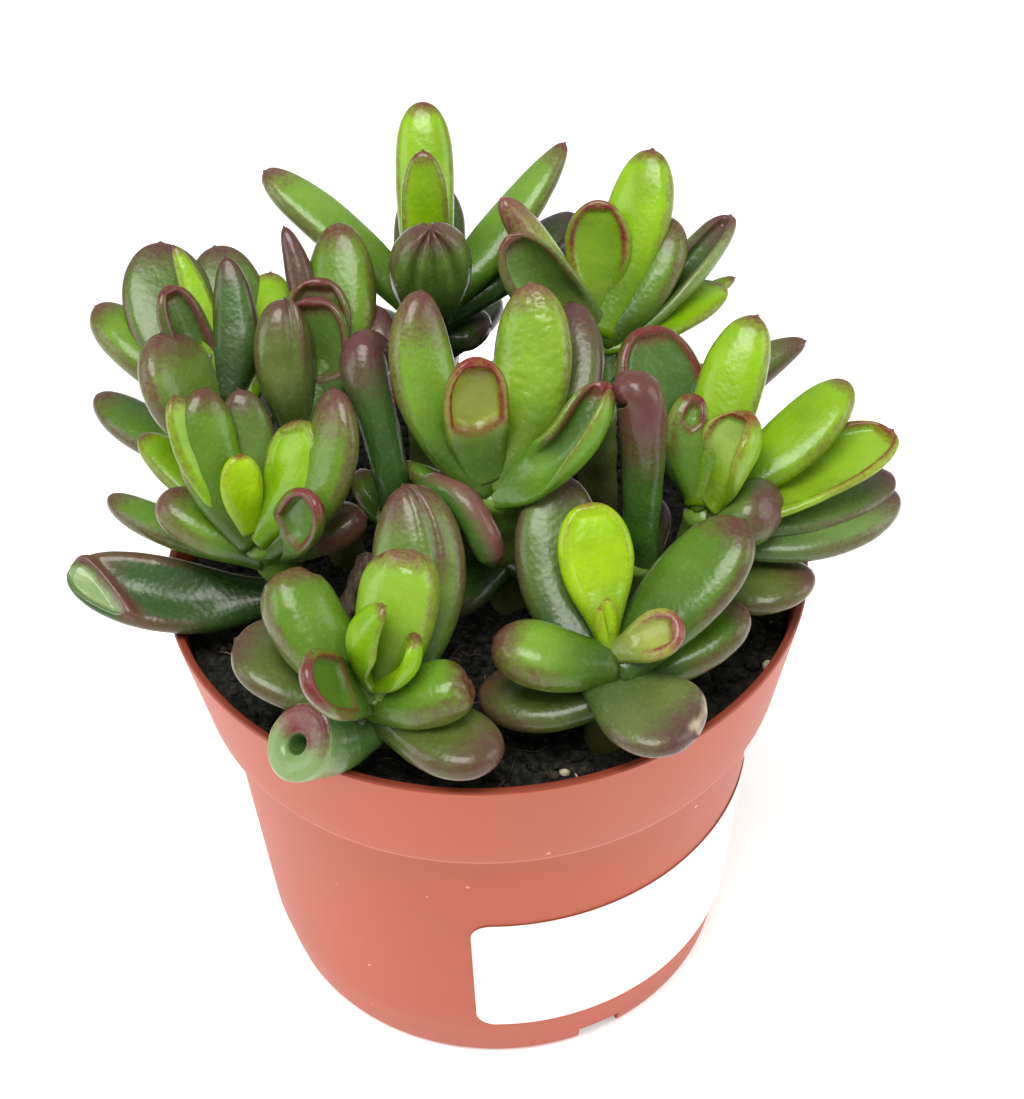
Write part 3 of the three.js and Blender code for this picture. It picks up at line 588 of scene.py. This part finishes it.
def addLeaf(pile, shoot, row, seed):
    form, azimuth, rise, length, width, thick, fold, cup, bow, sway, roll, down, look, *extra = row
    extra = extra[0] if extra else ""
    neck, widest, blunt, rimDepth = leafForms[form]
    fineMesh = extra in ("pimpled", "pleated", "dimpled")
    rimMesh = rimDepth > 0 or extra in ("curled", "creased")
    count, sides = leaf["fineMesh" if fineMesh else "rimMesh" if rimMesh else "plainMesh"]
    base = stemPoint(shoot, shoot["crown"][2] - down)
    az, up = math.radians(azimuth), math.radians(rise)
    chord = np.array([math.cos(up) * math.cos(az), math.cos(up) * math.sin(az), math.sin(up)])
    inner = np.array([-math.sin(up) * math.cos(az), -math.sin(up) * math.sin(az), math.cos(up)])
    lean = math.radians(roll)
    inner = inner * math.cos(lean) + np.cross(chord, inner) * math.sin(lean)
    side = np.cross(chord, inner)

    spaced = 1 - (1 - np.arange(count) / (count - 1)) ** leaf["ringBunching"]
    t = np.minimum(spaced, leaf["lastRing"])

    def midline(s):
        arch = (4 * s * (1 - s))[:, None]
        curl = (np.clip((s - 0.6) / 0.4, 0, 1) ** 2)[:, None]
        return base + chord * length * s[:, None] + inner * (cup * curl - bow * arch) + side * sway * arch

    along = unit(midline(t + 0.004) - midline(t - 0.004))
    across = unit(side - along * (along @ side)[:, None])
    inward = np.cross(across, along)
    swell = np.sin(np.pi / 2 * np.clip(t / widest, 0, 1))
    close = (1 - np.clip((t - widest) / (1 - widest), 0, 1) ** blunt) ** (1 / 2.1)
    stripWidth = width * (neck + (1 - neck) * swell ** 2) * close
    stripThick = thick * (0.8 + 0.2 * swell) * close ** 0.8
    bend = math.radians(fold) * smooth(t, 0.05, 0.6) * (0.5 + 0.5 * close)
    angle = np.maximum(np.minimum(bend, 1.5 * stripWidth / stripThick), 1e-3)
    radius = stripWidth / angle

    turn = -2 * np.pi * np.arange(sides) / sides
    u, v = (np.sign(wave) * np.abs(wave) ** leaf["roundness"] for wave in (np.cos(turn), np.sin(turn)))
    swing = angle[:, None] / 2 * u[None, :]
    reach = radius[:, None] - stripThick[:, None] / 2 * v[None, :]
    rings = (midline(t)[:, None, :]
             + across[:, None, :] * (reach * np.sin(swing))[:, :, None]
             + inward[:, None, :] * (radius[:, None] - reach * np.cos(swing))[:, :, None])

    # the flesh is uneven: push the skin in and out along its own normals
    lengthwise = np.gradient(rings, axis=0)
    roundwise = np.roll(rings, -1, 1) - np.roll(rings, 1, 1)
    normals = unit(np.cross(roundwise, lengthwise) + 1e-9)
    share = np.broadcast_to(t[:, None], rings.shape[:2])
    size, depth = leaf["swelling"]
    push = noiseAt(rings, size, seed) * depth * smooth(share, 0.05, 0.3)
    size, depth = leaf["grain"]
    push += noiseAt(rings, size, seed + 7) * depth * smooth(share, 0.1, 0.4)
    edge = np.abs(np.broadcast_to(u[None, :], rings.shape[:2]))
    face = np.broadcast_to(v[None, :], rings.shape[:2])
    if extra == "dimpled":
        size, depth = leaf["dimples"]
        push += noiseAt(rings, size, seed + 3) * depth * smooth(share, 0.82, 0.95)
    if extra == "pimpled":
        size, depth = leaf["pits"]
        pits = np.maximum(noiseAt(rings, size, seed + 5), 0)
        push -= pits * depth * smooth(face, -0.2, 0.3) * smooth(share, 0.25, 0.5)
    if extra == "pleated":
        for groove in leaf["pleats"]:
            pleat = bell(u[None, :] - groove, leaf["pleatWide"])
            push -= leaf["pleatMm"] * pleat * smooth(share, 0.4, 0.85)
    toMargin = np.minimum(stripWidth[:, None] / 2 * (1 - edge), length * (1 - share))  # mm
    mouth = leaf["mouths"].get(extra, 0)
    toMouth = leaf["mouthSlope"] * (length * (share - mouth) - leaf["mouthRoundMm"] * edge ** 2)
    toRim = np.minimum(toMargin, toMouth) if mouth else toMargin
    if rimDepth:  # the inner face lies in a hollow with a rounded rim
        hollow = smooth(toRim, *leaf["rimMm"]) * smooth(face, 0.0, 0.35)
        push -= rimDepth * hollow * (1.4 if mouth else smooth(share, 0.22, 0.5))
    if extra == "creased":  # the blade folds over beside its tip
        fade = smooth(share, 0.42, 0.72) * smooth(face, -0.2, 0.3)
        ridge, groove = (bell(u[None, :] - place, leaf["creaseWide"]) * fade
                         for place in leaf["creases"])
        push += leaf["creaseMm"] * (ridge - groove)
    if extra == "curled":  # a hood: the blade beyond a slanting ridge drops back
        hoodStart, hoodSlant = leaf["hoodEdge"]
        hoodEdge = hoodStart - hoodSlant * (u[None, :] * leaf["hoodSide"] + 1) / 2
        beyond = (share - hoodEdge) * length
        drop = bell(beyond, 1.1) - 1.2 * smooth(beyond, 0.4, 2.2)
        push += leaf["hoodMm"] * drop * smooth(face, -0.1, 0.4)
    rings = rings + normals * push[:, :, None] * np.minimum(close * 3, 1)[:, None, None]
    points, faces = skinRings(rings)
    if form in ("paddle", "petal", "fold"):  # a short point ends the blade
        points[-1] += along[-1] * leaf["tipPointMm"]

    # colours: paler flesh low down, red flush at the tip and along the margin
    low, blade, inside, flushTone = (np.array(linear(c)) for c in leafLooks[look][:4])
    reachShare, rim = leafLooks[look][4:]
    open_ = smooth(fold, 90, 130)
    skin = low + (blade - low) * smooth(share, 0.08, 0.6)[:, :, None]
    skin = skin + (inside - skin) * (smooth(face, 0.0, 0.25) * smooth(share, 0.3, 0.55) * open_)[:, :, None]
    tip = smooth(share, 1 - reachShare * 1.6, 1.02)
    margin = (1 - smooth(toMargin, *leaf["marginMm"])) * smooth(share, 0.3, 0.6) * rim
    if rimDepth:  # on a raised rim the red sits on the crest
        crestIn, crestWide = leaf["crestMm"]
        crest = bell(toRim - crestIn, crestWide) * smooth(face, -0.5, 0.1)
        red = smooth(share, mouth - 0.1, mouth + 0.25) if mouth else smooth(share, 0.3, 0.75)
        margin = np.maximum(margin * 0.35, crest * rim * red)
    flush = np.clip(np.maximum(tip, margin), 0, 1)
    if extra == "creased":
        flush = np.maximum(flush, 0.8 * ridge)
    tone = np.broadcast_to(flushTone, skin.shape).copy()
    if extra == "curled":
        # painted highlight: the blade beyond the hood's ridge turns pale
        pale = np.array(linear(leaf["hoodHighlightTone"]))
        tone[:] = linear(leaf["hoodRed"])
        skin = skin + (pale - skin) * (smooth(beyond, 0.3, 1.6) * smooth(face, -0.1, 0.4))[:, :, None]
        flush *= 1 - smooth(beyond, 0.8, 2.0)
        flush = np.maximum(flush, bell(beyond + 0.6, 2.0) * smooth(face, -0.3, 0.2))
    if extra == "scarred":  # old damage: a pale corky strip along one margin near the tip
        cork = (1 - smooth(toMargin, 0.5, 1.7)) * smooth(share, 0.45, 0.7) * (u[None, :] < 0)
        cork *= smooth(noiseAt(rings, 1.5, seed + 9), -0.35, 0.25)
        tone += (np.array(linear(leaf["corkTone"])) - tone) * cork[:, :, None]
        flush = np.maximum(flush, cork)
    lighter = 1 + leaf["toneSpread"] * math.sin(seed * 12.9898)
    shift = lighter * (0.72 + 0.32 * smooth(share, 0.1, 0.65))  # darker low down, in the crown's shade
    skin[:, :, :3] *= shift[:, :, None]
    pile.add(points, faces, skin=withPoles(skin), flushTone=withPoles(tone),
             flush=np.concatenate([flush.ravel(), flush[0, :1] * 0, flush[-1, :1]]))


# leaves that curl out of the usual form: a horn with a dimpled mouth, an arch that hangs down and two
# fingers whose tips hook over; path in mm, outside and throat as (share of the path, radius)
finger = [(0.0, 2.4), (0.15, 2.7), (0.4, 3.3), (0.62, 3.8), (0.8, 3.7), (0.9, 3.2), (0.96, 2.4), (0.99, 1.5),
          (1.0, 0.7)]
plainCurly = {  # what a curled leaf has unless it says otherwise
    # hollow: painted shade colour for the inside of a funnel's throat
    "sides": 44, "throat": [], "hollow": "2A4420", "tall": 1.0, "flushTurn": 0.0, "outside": finger,
    "mouthDropMm": 0.35, "swelling": (5.0, 0.22), "grain": (1.6, 0.06),
}
curlies = {
    "horn": {
        "node": "shoot_front_left", "seed": 8.1,
        "path": [(-18.5, -41.5, 87.6), (-22.5, -44, 87.2), (-27.5, -46, 88.4), (-29.4, -48.4, 92.2)],
        "outside": [(0.0, 3.2), (0.12, 3.8), (0.3, 4.7), (0.5, 5.2), (0.7, 5.5), (0.85, 5.6), (0.94, 5.4),
                    (0.99, 4.8), (1.0, 4.1)],
        "throat": [(0.995, 3.2), (0.985, 2.4), (0.96, 1.7), (0.90, 1.2), (0.80, 0.85), (0.70, 0.4)],
        # hollow: painted shade deep in the horn's throat
        "tall": 1.12, "low": "55763A", "top": "7E9860", "hollow": "44622F",
        "flushTone": "70383A", "flushFrom": 0.86, "flushRamp": 0.13, "flushWide": 0.3,
    },
    "arch": {
        "node": "shoot_middle_left", "seed": 5.3,
        "path": [(-10.5, -9.8, 105.2), (-5.6, -9.5, 113.4), (0.3, -19.8, 106.8), (0.9, -19.9, 100.2)],
        "outside": [(0.0, 1.6), (0.2, 2.3), (0.5, 2.7), (0.8, 2.7), (0.92, 2.2), (0.98, 1.3), (1.0, 0.5)],
        "low": "46702A", "top": "50722E",
        "flushTone": "6E4640", "flushFrom": 0.1, "flushRamp": 0.13, "flushTurn": 0.6, "flushWide": 0.15,
    },
    "leftFinger": {
        "node": "shoot_middle_left", "seed": 2.7,
        "path": [(-14.5, -7, 98.5), (-13, -10.2, 115.5), (-23.4, 9.1, 131.3), (-14.2, 3, 121.2)],
        "low": "40622A", "top": "566438",
        "flushTone": "543231", "flushFrom": 0.35, "flushRamp": 0.4, "flushWide": 0.75,
    },
    "rightFinger": {
        "node": "shoot_middle_right", "seed": 6.4,
        "path": [(25.2, -13, 92.5), (23.4, -14.9, 101.1), (27.3, -8.7, 133.2), (21.3, -9, 122.5)],
        "low": "48722A", "top": "5C6A38",
        "flushTone": "5C3433", "flushFrom": 0.30, "flushRamp": 0.4, "flushWide": 0.8,
    },
}


def addCurly(pile, curly):
    curly = {**plainCurly, **curly}
    path = np.array(curly["path"], float)

    def pathAt(s):  # one Bezier
        k = 1 - s
        return k ** 3 * path[0] + 3 * k * k * s * path[1] + 3 * k * s * s * path[2] + s ** 3 * path[3]

    def direction(s):
        return unit(pathAt(min(s + 0.02, 1.0)) - pathAt(min(s + 0.02, 1.0) - 0.04))

    turn = -2 * np.pi * np.arange(curly["sides"]) / curly["sides"]
    outside = refine(curly["outside"], 0.05)
    steps = outside + refine(curly["throat"], 0.4) if curly["throat"] else outside
    rings, flush, shadedThroat = [], [], []
    for order, (s, r) in enumerate(steps):
        ahead = direction(s)
        across = unit(np.cross([0, 0, 1], ahead))
        upward = np.cross(ahead, across)
        squash = 1 + (curly["tall"] - 1) * smooth(s, 0.7, 1.0)
        hole = order >= len(outside)
        drop = curly["mouthDropMm"] if hole else 0.0  # the mouth sits a little low
        rings.append([pathAt(s) + r * (math.cos(a) * across + math.sin(a) * squash * upward) - drop * upward
                      for a in turn])
        top = np.clip(np.sin(turn + curly["flushTurn"]) + curly["flushWide"], 0, 1)
        start = curly["flushFrom"]
        reddening = smooth(s, start, start + curly["flushRamp"])
        flush.append(top * reddening * (0.3 if hole and s < 0.93 else 1.0))
        shadedThroat.append(1.0 if hole and s < 0.95 else 0.0)
    rings = np.array(rings)
    push = 0
    for shift, (size, depth) in ((0, curly["swelling"]), (2, curly["grain"])):
        push = push + noiseAt(rings, size, curly["seed"] + shift) * depth
    rings = rings + unit(rings - rings.mean(1, keepdims=True)) * push[:, :, None]
    points, faces = skinRings(rings)
    low, pale, deep = (np.array(linear(curly[k])) for k in ("low", "top", "hollow"))
    share = np.array([s for s, r in steps])[:, None, None]
    throat = np.array(shadedThroat)[:, None, None]
    skin = np.broadcast_to(low + (pale - low) * smooth(share, 0.35, 0.95), rings.shape[:2] + (4,)).copy()
    # painted shade: the throat takes the dark hollow colour
    skin = skin + (deep - skin) * throat
    pile.add(points, faces, skin=withPoles(skin), flushTone=linear(curly["flushTone"]),
             flush=np.concatenate([np.array(flush).ravel(), [0, 0]]))


def addStem(pile, shoot, seed):
    top, soilTop = shoot["crown"][2], leaf["soilTop"]
    heights = [leaf["stemFoot"]] + list(np.linspace(soilTop, top + 0.8, 26))
    knuckle, apart = leaf["knuckles"]
    turn = 2 * np.pi * np.arange(leaf["stemSides"]) / leaf["stemSides"]
    rings = []
    for z in heights:
        share = np.clip((z - soilTop) / (top - soilTop), 0, 1)
        size = shoot["stem"][0] + (shoot["stem"][1] - shoot["stem"][0]) * share
        size *= 1 - 0.75 * max(0, (z - top + 1.5) / 2.3) ** 2  # domed growing point
        size *= 1 + knuckle * math.cos(2 * math.pi * (z - top) / apart)
        centre = stemPoint(shoot, z)
        rings.append([centre + [size * math.cos(a), size * math.sin(a), 0] for a in turn])
    rings = np.array(rings)
    low, high = (np.array(linear(leaf[end])) for end in ("stemLow", "stemTop"))
    tone = low + (high - low) * smooth(rings[:, :, 2], soilTop, top)[:, :, None]
    outward = unit(rings - rings.mean(1, keepdims=True))
    rings = rings + outward * (noiseAt(rings, 3.0, seed) * 0.12)[:, :, None]
    points, faces = skinRings(rings)
    pile.add(points, faces, skin=withPoles(tone), flushTone=linear(leaf["stemFlush"]), flush=0.0)


for order, (node, shoot) in enumerate(shoots.items()):
    pile = MeshPile()
    addStem(pile, shoot, order * 5.3)
    for place, row in enumerate(shoot["leaves"]):
        addLeaf(pile, shoot, row, order * 31.7 + place * 3.1)
    for curly in curlies.values():
        if curly["node"] == node:
            addCurly(pile, curly)
    words = node.split("_")
    name = words[0] + "".join(w.capitalize() for w in words[1:])
    piece = pile.build(name, [leafSkin])
    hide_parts(node)
print("shoots grown:", len(shoots))


# dry stub: dead woody stem, bark shrunk into ridges, grey brown and quite matt

def makeDryStem():  # the fibres run up the stem
    return grainyMaterial(
        "dryWoodyStem", ("TexNoise", "Fac", {"Scale": perMm(0.8), "Detail": 5.0, "Roughness": 0.65}),
        [(0.30, "3A2C24"), (0.55, "6E5A4C"), (0.75, "9C8A78")], {"Roughness": 0.85},
        relief=(0.8, 0.5), stretch=(1.0, 1.0, 0.18))


stub = {
    "foot": (-24, -11), "crown": (-19.5, -9.8, 94), "bottom": 75.9, "thick": (2.1, 1.2),
    "ridges": 7, "ridgeMm": 0.22, "twist": 2.4, "roughMm": 0.18, "rings": 40, "sides": 42,
}


def makeStub():
    turn = 2 * np.pi * np.arange(stub["sides"]) / stub["sides"]
    top, soilTop = stub["crown"][2], leaf["soilTop"]
    rings = []
    for z in [stub["bottom"]] + list(np.linspace(soilTop, top, stub["rings"])):
        share = np.clip((z - soilTop) / (top - soilTop), 0, 1)
        size = stub["thick"][0] + (stub["thick"][1] - stub["thick"][0]) * share
        size *= 1 + 0.10 * math.cos(share * 19)
        size *= 1 - 0.5 * max(0, share - 0.95) / 0.05
        centre = stemPoint(stub, z)
        ridge = stub["ridgeMm"] * np.abs(np.sin(turn * stub["ridges"] / 2 + share * stub["twist"]))
        rings.append([centre + [(size + d) * math.cos(a), (size + d) * math.sin(a), 0]
                      for a, d in zip(turn, ridge)])
    rings = np.array(rings)
    outward = unit(rings - rings.mean(1, keepdims=True))
    rings = rings + outward * (noiseAt(rings, 1.6, 4.0) * stub["roughMm"])[:, :, None]
    pile = MeshPile()
    pile.add(*skinRings(rings))
    piece = pile.build("dryStub", [makeDryStem()])
    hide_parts("dead_stem")


makeStub()
print("stub set")


# peat: damp, nearly black, crumbly, with pale rootlets and a few grains of perlite

def makePeat():
    return grainyMaterial(
        "dampPeat", ("TexNoise", "Fac", {"Scale": perMm(1.4), "Detail": 6.0, "Roughness": 0.7}),
        [(0.34, "14161A"), (0.50, "272825"), (0.62, "3E3B33"), (0.76, "685C4A")],
        {"Roughness": 0.95, "Specular IOR Level": 0.08}, relief=(1.0, 0.9))


def makeRootlet():  # dead peat fibre: matt straw brown, darker in patches
    return grainyMaterial(
        "driedRootlet", ("TexNoise", "Fac", {"Scale": perMm(3), "Detail": 3.0}),
        [(0.35, "1E1712"), (0.55, "40322A"), (0.75, "735E48")], {"Roughness": 0.85})


def makePerlite():  # expanded volcanic glass: chalk white, finely pitted
    return grainyMaterial(
        "perlite", ("TexVoronoi", "Distance", {"Scale": perMm(0.5)}),
        [(0.1, "857A68"), (0.5, "B9AE98")], {"Roughness": 0.8}, relief=(0.6, 0.2))


soil = {
    "topMm": 79.4,
    "edge": 51.0,
    "side": [(51.25, 77.0), (48.4, 65.1), (45.6, 65.1), (41.9, 10.0), (40.1, 2.0)],  # down along the pot
    "rings": 96,
    "spokes": 230,
    "crumbs": 1300,
    "crumbSizes": [0.45, 0.6, 0.8, 1.1, 1.5],
    "crumbReach": 50.2,
    "crumbSink": 0.25,
    "barkShare": 0.14,  # crumbs of brown bark among the peat
    "barkSize": 0.6,
    "rootlets": 190,
    "rootletReach": 49,
    "rootletStop": 50.4,  # a rootlet ends before the pot's wall
    "perlite": [(10.5, -45.6, 0.9), (12.6, -46.4, 0.6), (44.6, -24.5, 1.0), (43.4, -27.3, 0.7),
                (46.5, -14.8, 0.9), (-6, -43, 0.8), (31, -35, 0.9), (2, 41, 1.3), (-30, 33, 1.2),
                (38, 27, 1.0), (9, 6, 1.1), (-44, 16, 1.0)],  # x, y, size
    "perliteSink": 0.45,
}


def soilHeight(x, y):
    spot = Vector((x, y, 0))
    lumps = noise.noise(spot / 9) * 0.7 + abs(noise.noise(spot / 3.2 + Vector((5, 1, 2)))) * 1.1
    grit = noise.noise(spot / 1.1) * 0.25
    return soil["topMm"] - 0.5 + lumps + grit


def makeSoil():
    chance = random.Random(4)
    pile = MeshPile()
    # the plug, from the middle of its top out over the edge and down along the pot
    turn = 2 * np.pi * np.arange(soil["spokes"]) / soil["spokes"]
    rings = []
    for r in np.linspace(0.6, soil["edge"], soil["rings"]):
        rings.append([(x, y, soilHeight(x, y)) for x, y, z in ringAt(r, 0, turn)])
    rings += [ringAt(r, z, turn) for r, z in soil["side"]]
    points, faces = skinRings(np.array(rings)[::-1])
    pile.add(points, faces)

    def lump(x, y, size, slot, sink):
        rounds, sides = 5, 7
        centre = np.array([x, y, soilHeight(x, y) + size * sink])
        ball = []
        tilt = chance.uniform(0, 3)
        for i in range(rounds):
            polar = math.pi * (i + 0.5) / rounds
            ball.append([[math.sin(polar) * math.cos(2 * math.pi * j / sides + tilt),
                          math.sin(polar) * math.sin(2 * math.pi * j / sides + tilt), -math.cos(polar)]
                         for j in range(sides)])
        ball = np.array(ball) * [1, chance.uniform(0.65, 1), chance.uniform(0.6, 1)] * size
        ball = ball * (1 + 0.35 * noiseAt(ball + centre, size * 1.3, tilt))[:, :, None]
        pile.add(*skinRings(ball + centre), slot=slot)

    for _ in range(soil["crumbs"]):
        r, a = soil["crumbReach"] * math.sqrt(chance.random()), chance.uniform(0, 2 * math.pi)
        size, bark = chance.choice(soil["crumbSizes"]), chance.random() < soil["barkShare"]
        size *= soil["barkSize"] if bark else 1
        lump(r * math.cos(a), r * math.sin(a), size, 1 if bark else 0, soil["crumbSink"])
    for x, y, size in soil["perlite"]:
        lump(x, y, size, 2, soil["perliteSink"])

    for _ in range(soil["rootlets"]):
        r, a = soil["rootletReach"] * math.sqrt(chance.random()), chance.uniform(0, 2 * math.pi)
        x, y, heading = r * math.cos(a), r * math.sin(a), chance.uniform(0, 2 * math.pi)
        length, bendRate = chance.uniform(3, 13), chance.uniform(-0.35, 0.35)
        thick = chance.uniform(0.10, 0.24)
        arch = chance.uniform(0.2, 1.6)
        rings, steps, sides = [], 10, 5
        for i in range(steps):
            s = i / (steps - 1)
            if math.hypot(x, y) > soil["rootletStop"]:
                break
            centre = np.array([x, y, soilHeight(x, y) + 0.15 + arch * math.sin(math.pi * s)])
            cross = np.array([-math.sin(heading), math.cos(heading), 0])
            taper = thick * (1 - 0.55 * s)
            ring = [2 * math.pi * k / sides for k in range(sides)]
            rings.append([centre + taper * (math.cos(q) * cross + [0, 0, math.sin(q)]) for q in ring])
            heading += bendRate
            x, y = x + math.cos(heading) * length / steps, y + math.sin(heading) * length / steps
        if len(rings) > 3:
            pile.add(*skinRings(np.array(rings)), slot=1)
    piece = pile.build("pottingPeat", [makePeat(), makeRootlet(), makePerlite()])
    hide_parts("soil")


makeSoil()
print("soil laid")


# pot: injection moulded polypropylene, satin and slightly milky, with a paler bloom and a few specks

pot = {  # profile as (radius, height)
    "steps": 240,
    "longestMm": 6,
    "outside": [(0, 0), (36, 0), (40.6, 0), (41.5, 0.35), (41.9, 1.2), (43.4, 9.2), (43.65, 10.6),
                (47.2, 62.2), (47.45, 63.6), (47.9, 64.0), (49.9, 64.0), (50.35, 64.2), (50.5, 64.8),
                (53.85, 83.9), (53.95, 84.6), (53.7, 84.95)],
    "inside": [(52.95, 85.0), (52.65, 84.8), (52.5, 84.2), (49.1, 65.7), (48.8, 65.4), (46.0, 65.35),
               (42.25, 10.2), (40.5, 1.9), (39.8, 1.6), (0, 1.6)],
    "wall": ((43.6, 10), (47.4, 64)),  # where the tapered wall starts and ends
    "notches": (23.7, 113.7, 203.7, 293.7),  # azimuth
    "notchRadius": 41.8,
    "notchWide": 8,
    "notchHigh": 3.4,
    "notchDeep": 6,
    "sharpAngle": 38,
    "tones": [(0.3, "A74423"), (0.7, "B24B2B")],
    "cloudMm": 38,
    "speckMm": 9,
    "speckShow": 0.75,
    "lip": (84.5, 84.9),  # heights between which the wall's colour turns to the lip's
    # tone of the pale specks, also used for the painted highlight at the band's edge
    "lipTone": "7E3522",
    "scuff": (64.3, 0.4, 0.14),  # painted highlight where the band's lower edge catches the light: height, half its width and strength
    "speckAndHighlightTone": "E6B4A4",
    "roughness": (0.42, 0.5),
    "relief": (0.12, 0.1),  # strength and mm
}


def makePotPlastic():
    material, tree, place = newMaterial("mouldedPolypropylene")
    cloud = addNode(tree, "TexNoise", inputs={
        "Vector": place, "Scale": perMm(pot["cloudMm"]), "Detail": 3.0,
    })
    tone = rampStops(addNode(tree, "ValToRGB", inputs={"Fac": cloud.outputs["Fac"]}), pot["tones"])
    speck = addNode(tree, "TexVoronoi", inputs={"Vector": place, "Scale": perMm(pot["speckMm"])})
    dot = addNode(tree, "MapRange", inputs={
        "Value": speck.outputs["Distance"], "From Min": 0.02, "From Max": 0.045,
        "To Min": pot["speckShow"], "To Max": 0.0,
    })
    specked = addNode(tree, "Mix", {"data_type": "RGBA"}, {
        0: dot.outputs[0], 6: tone.outputs[0], 7: linear(pot["speckAndHighlightTone"]),
    })
    # the colour turns to a deeper, darker red at the lip
    height = addNode(tree, "SeparateXYZ", inputs={0: place}).outputs["Z"]
    lipFrom, lipTo = pot["lip"]
    lip = addNode(tree, "MapRange", {"interpolation_type": "SMOOTHSTEP"}, {
        "Value": height, "From Min": lipFrom * metres, "From Max": lipTo * metres,
    })
    lipped = addNode(tree, "Mix", {"data_type": "RGBA"}, {
        0: lip.outputs[0], 6: specked.outputs[2], 7: linear(pot["lipTone"]),
    })
    # painted highlight: a pale line where the band's lower edge catches the light
    highlightHeight, highlightHalf, highlightShow = pot["scuff"]
    scuff = addNode(tree, "Math", {"operation": "COMPARE"}, {
        0: height, 1: highlightHeight * metres, 2: highlightHalf * metres,
    })
    highlightShare = addNode(tree, "Math", {"operation": "MULTIPLY"}, {0: scuff.outputs[0], 1: highlightShow})
    highlighted = addNode(tree, "Mix", {"data_type": "RGBA"}, {
        0: highlightShare.outputs[0], 6: lipped.outputs[2], 7: linear(pot["speckAndHighlightTone"]),
    })
    fine = addNode(tree, "TexNoise", inputs={"Vector": place, "Scale": perMm(0.5), "Detail": 2.0})
    gloss = addNode(tree, "MapRange", inputs={
        "Value": cloud.outputs["Fac"], "From Min": 0.3, "From Max": 0.7,
        "To Min": pot["roughness"][0], "To Max": pot["roughness"][1],
    })
    strength, depth = pot["relief"]
    bump = addNode(tree, "Bump", inputs={
        "Strength": strength, "Distance": depth * metres, "Height": fine.outputs["Fac"],
    })
    closeMaterial(tree, addNode(tree, "BsdfPrincipled", inputs={
        "Base Color": highlighted.outputs[2], "Roughness": gloss.outputs[0], "IOR": 1.49,
        "Normal": bump.outputs[0],
        "Subsurface Weight": 0.08, "Subsurface Radius": (1.0, 0.35, 0.2), "Subsurface Scale": 0.002,
    }))
    return material


def wallRadius(z):  # outside of the tapered wall
    (narrow, low), (wide, high) = pot["wall"]
    return narrow + (wide - narrow) / (high - low) * (z - low)


def makePot():
    profile = [p for p in refine(pot["outside"] + pot["inside"], pot["longestMm"]) if p[0] > 0.01]
    turn = 2 * np.pi * np.arange(pot["steps"]) / pot["steps"]
    rings = np.array([ringAt(r, z, turn) for r, z in profile])
    pile = MeshPile()
    pile.add(*skinRings(rings))
    piece = pile.build("nurseryPot", [makePotPlastic()])
    cutters = []
    for azimuth in pot["notches"]:
        angle = math.radians(azimuth)
        bpy.ops.mesh.primitive_cube_add(size=1)
        cutter = bpy.context.object
        cutter.scale = Vector((2 * pot["notchDeep"], pot["notchWide"], 2 * pot["notchHigh"])) * metres
        cutter.rotation_euler = (0, 0, angle)
        cutter.location = Vector(ringAt(pot["notchRadius"], 0, [angle])[0]) * metres
        cutters.append(cutter)
    bpy.context.view_layer.objects.active = piece
    for cutter in cutters:
        cut = piece.modifiers.new("drainNotch", "BOOLEAN")
        cut.operation, cut.solver, cut.object = "DIFFERENCE", "EXACT", cutter
        bpy.ops.object.modifier_apply(modifier=cut.name)
    for cutter in cutters:
        bpy.data.objects.remove(cutter)
    piece.data.polygons.foreach_set("use_smooth", [True] * len(piece.data.polygons))
    piece.data.set_sharp_from_angle(angle=math.radians(pot["sharpAngle"]))
    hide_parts("pot")


makePot()
print("pot moulded")


# label: coated paper, white and smooth with a soft sheen, stuck flat on the wall

def makePaper():
    return grainyMaterial(
        "coatedLabelPaper", ("TexNoise", "Fac", {"Scale": perMm(1.2), "Detail": 5.0}),
        [(0.3, "F1F0EC"), (0.7, "F8F7F4")], {"Roughness": 0.5}, relief=(0.10, 0.1))


label = {
    "start": -96.7, "sweep": 85.7,  # degrees round the wall
    "bottom": 11.5, "high": 30.8, "corner": 3.5, "thick": 0.14, "off": 0.08,
    "bubbleMm": 0.10, "bubbleWide": 16,
    "columns": 150, "rows": 26, "sharpAngle": 50,
}


def makeLabel():
    middle = math.radians(label["start"] + label["sweep"] / 2)
    meanRadius = wallRadius(label["bottom"] + label["high"] / 2)
    halfWidth = math.radians(label["sweep"]) / 2 * meanRadius
    columns = []
    for i in range(label["columns"] + 1):
        across = -halfWidth * math.cos(math.pi * i / label["columns"])
        into = max(0, abs(across) - halfWidth + label["corner"]) / label["corner"]
        trim = label["corner"] * (1 - math.sqrt(max(0, 1 - into ** 2)))
        angle = middle + across / meanRadius
        low, high = label["bottom"] + trim, label["bottom"] + label["high"] - trim
        ring = []
        levels = np.linspace(low, high, label["rows"])
        for z, off in [(z, 0.0) for z in levels] + [(z, label["thick"]) for z in levels[::-1]]:
            spot = Vector((across / label["bubbleWide"], z / label["bubbleWide"], 3))
            lift = label["bubbleMm"] * max(0, noise.noise(spot))  # slight bubbles under the paper
            r = wallRadius(z) + label["off"] + off + lift
            ring.append((r * math.cos(angle), r * math.sin(angle), z))
        columns.append(ring)
    pile = MeshPile()
    pile.add(*skinRings(np.array(columns)))
    piece = pile.build("blankLabel", [makePaper()])
    piece.data.set_sharp_from_angle(angle=math.radians(label["sharpAngle"]))
    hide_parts("label")


makeLabel()
print("label stuck on")
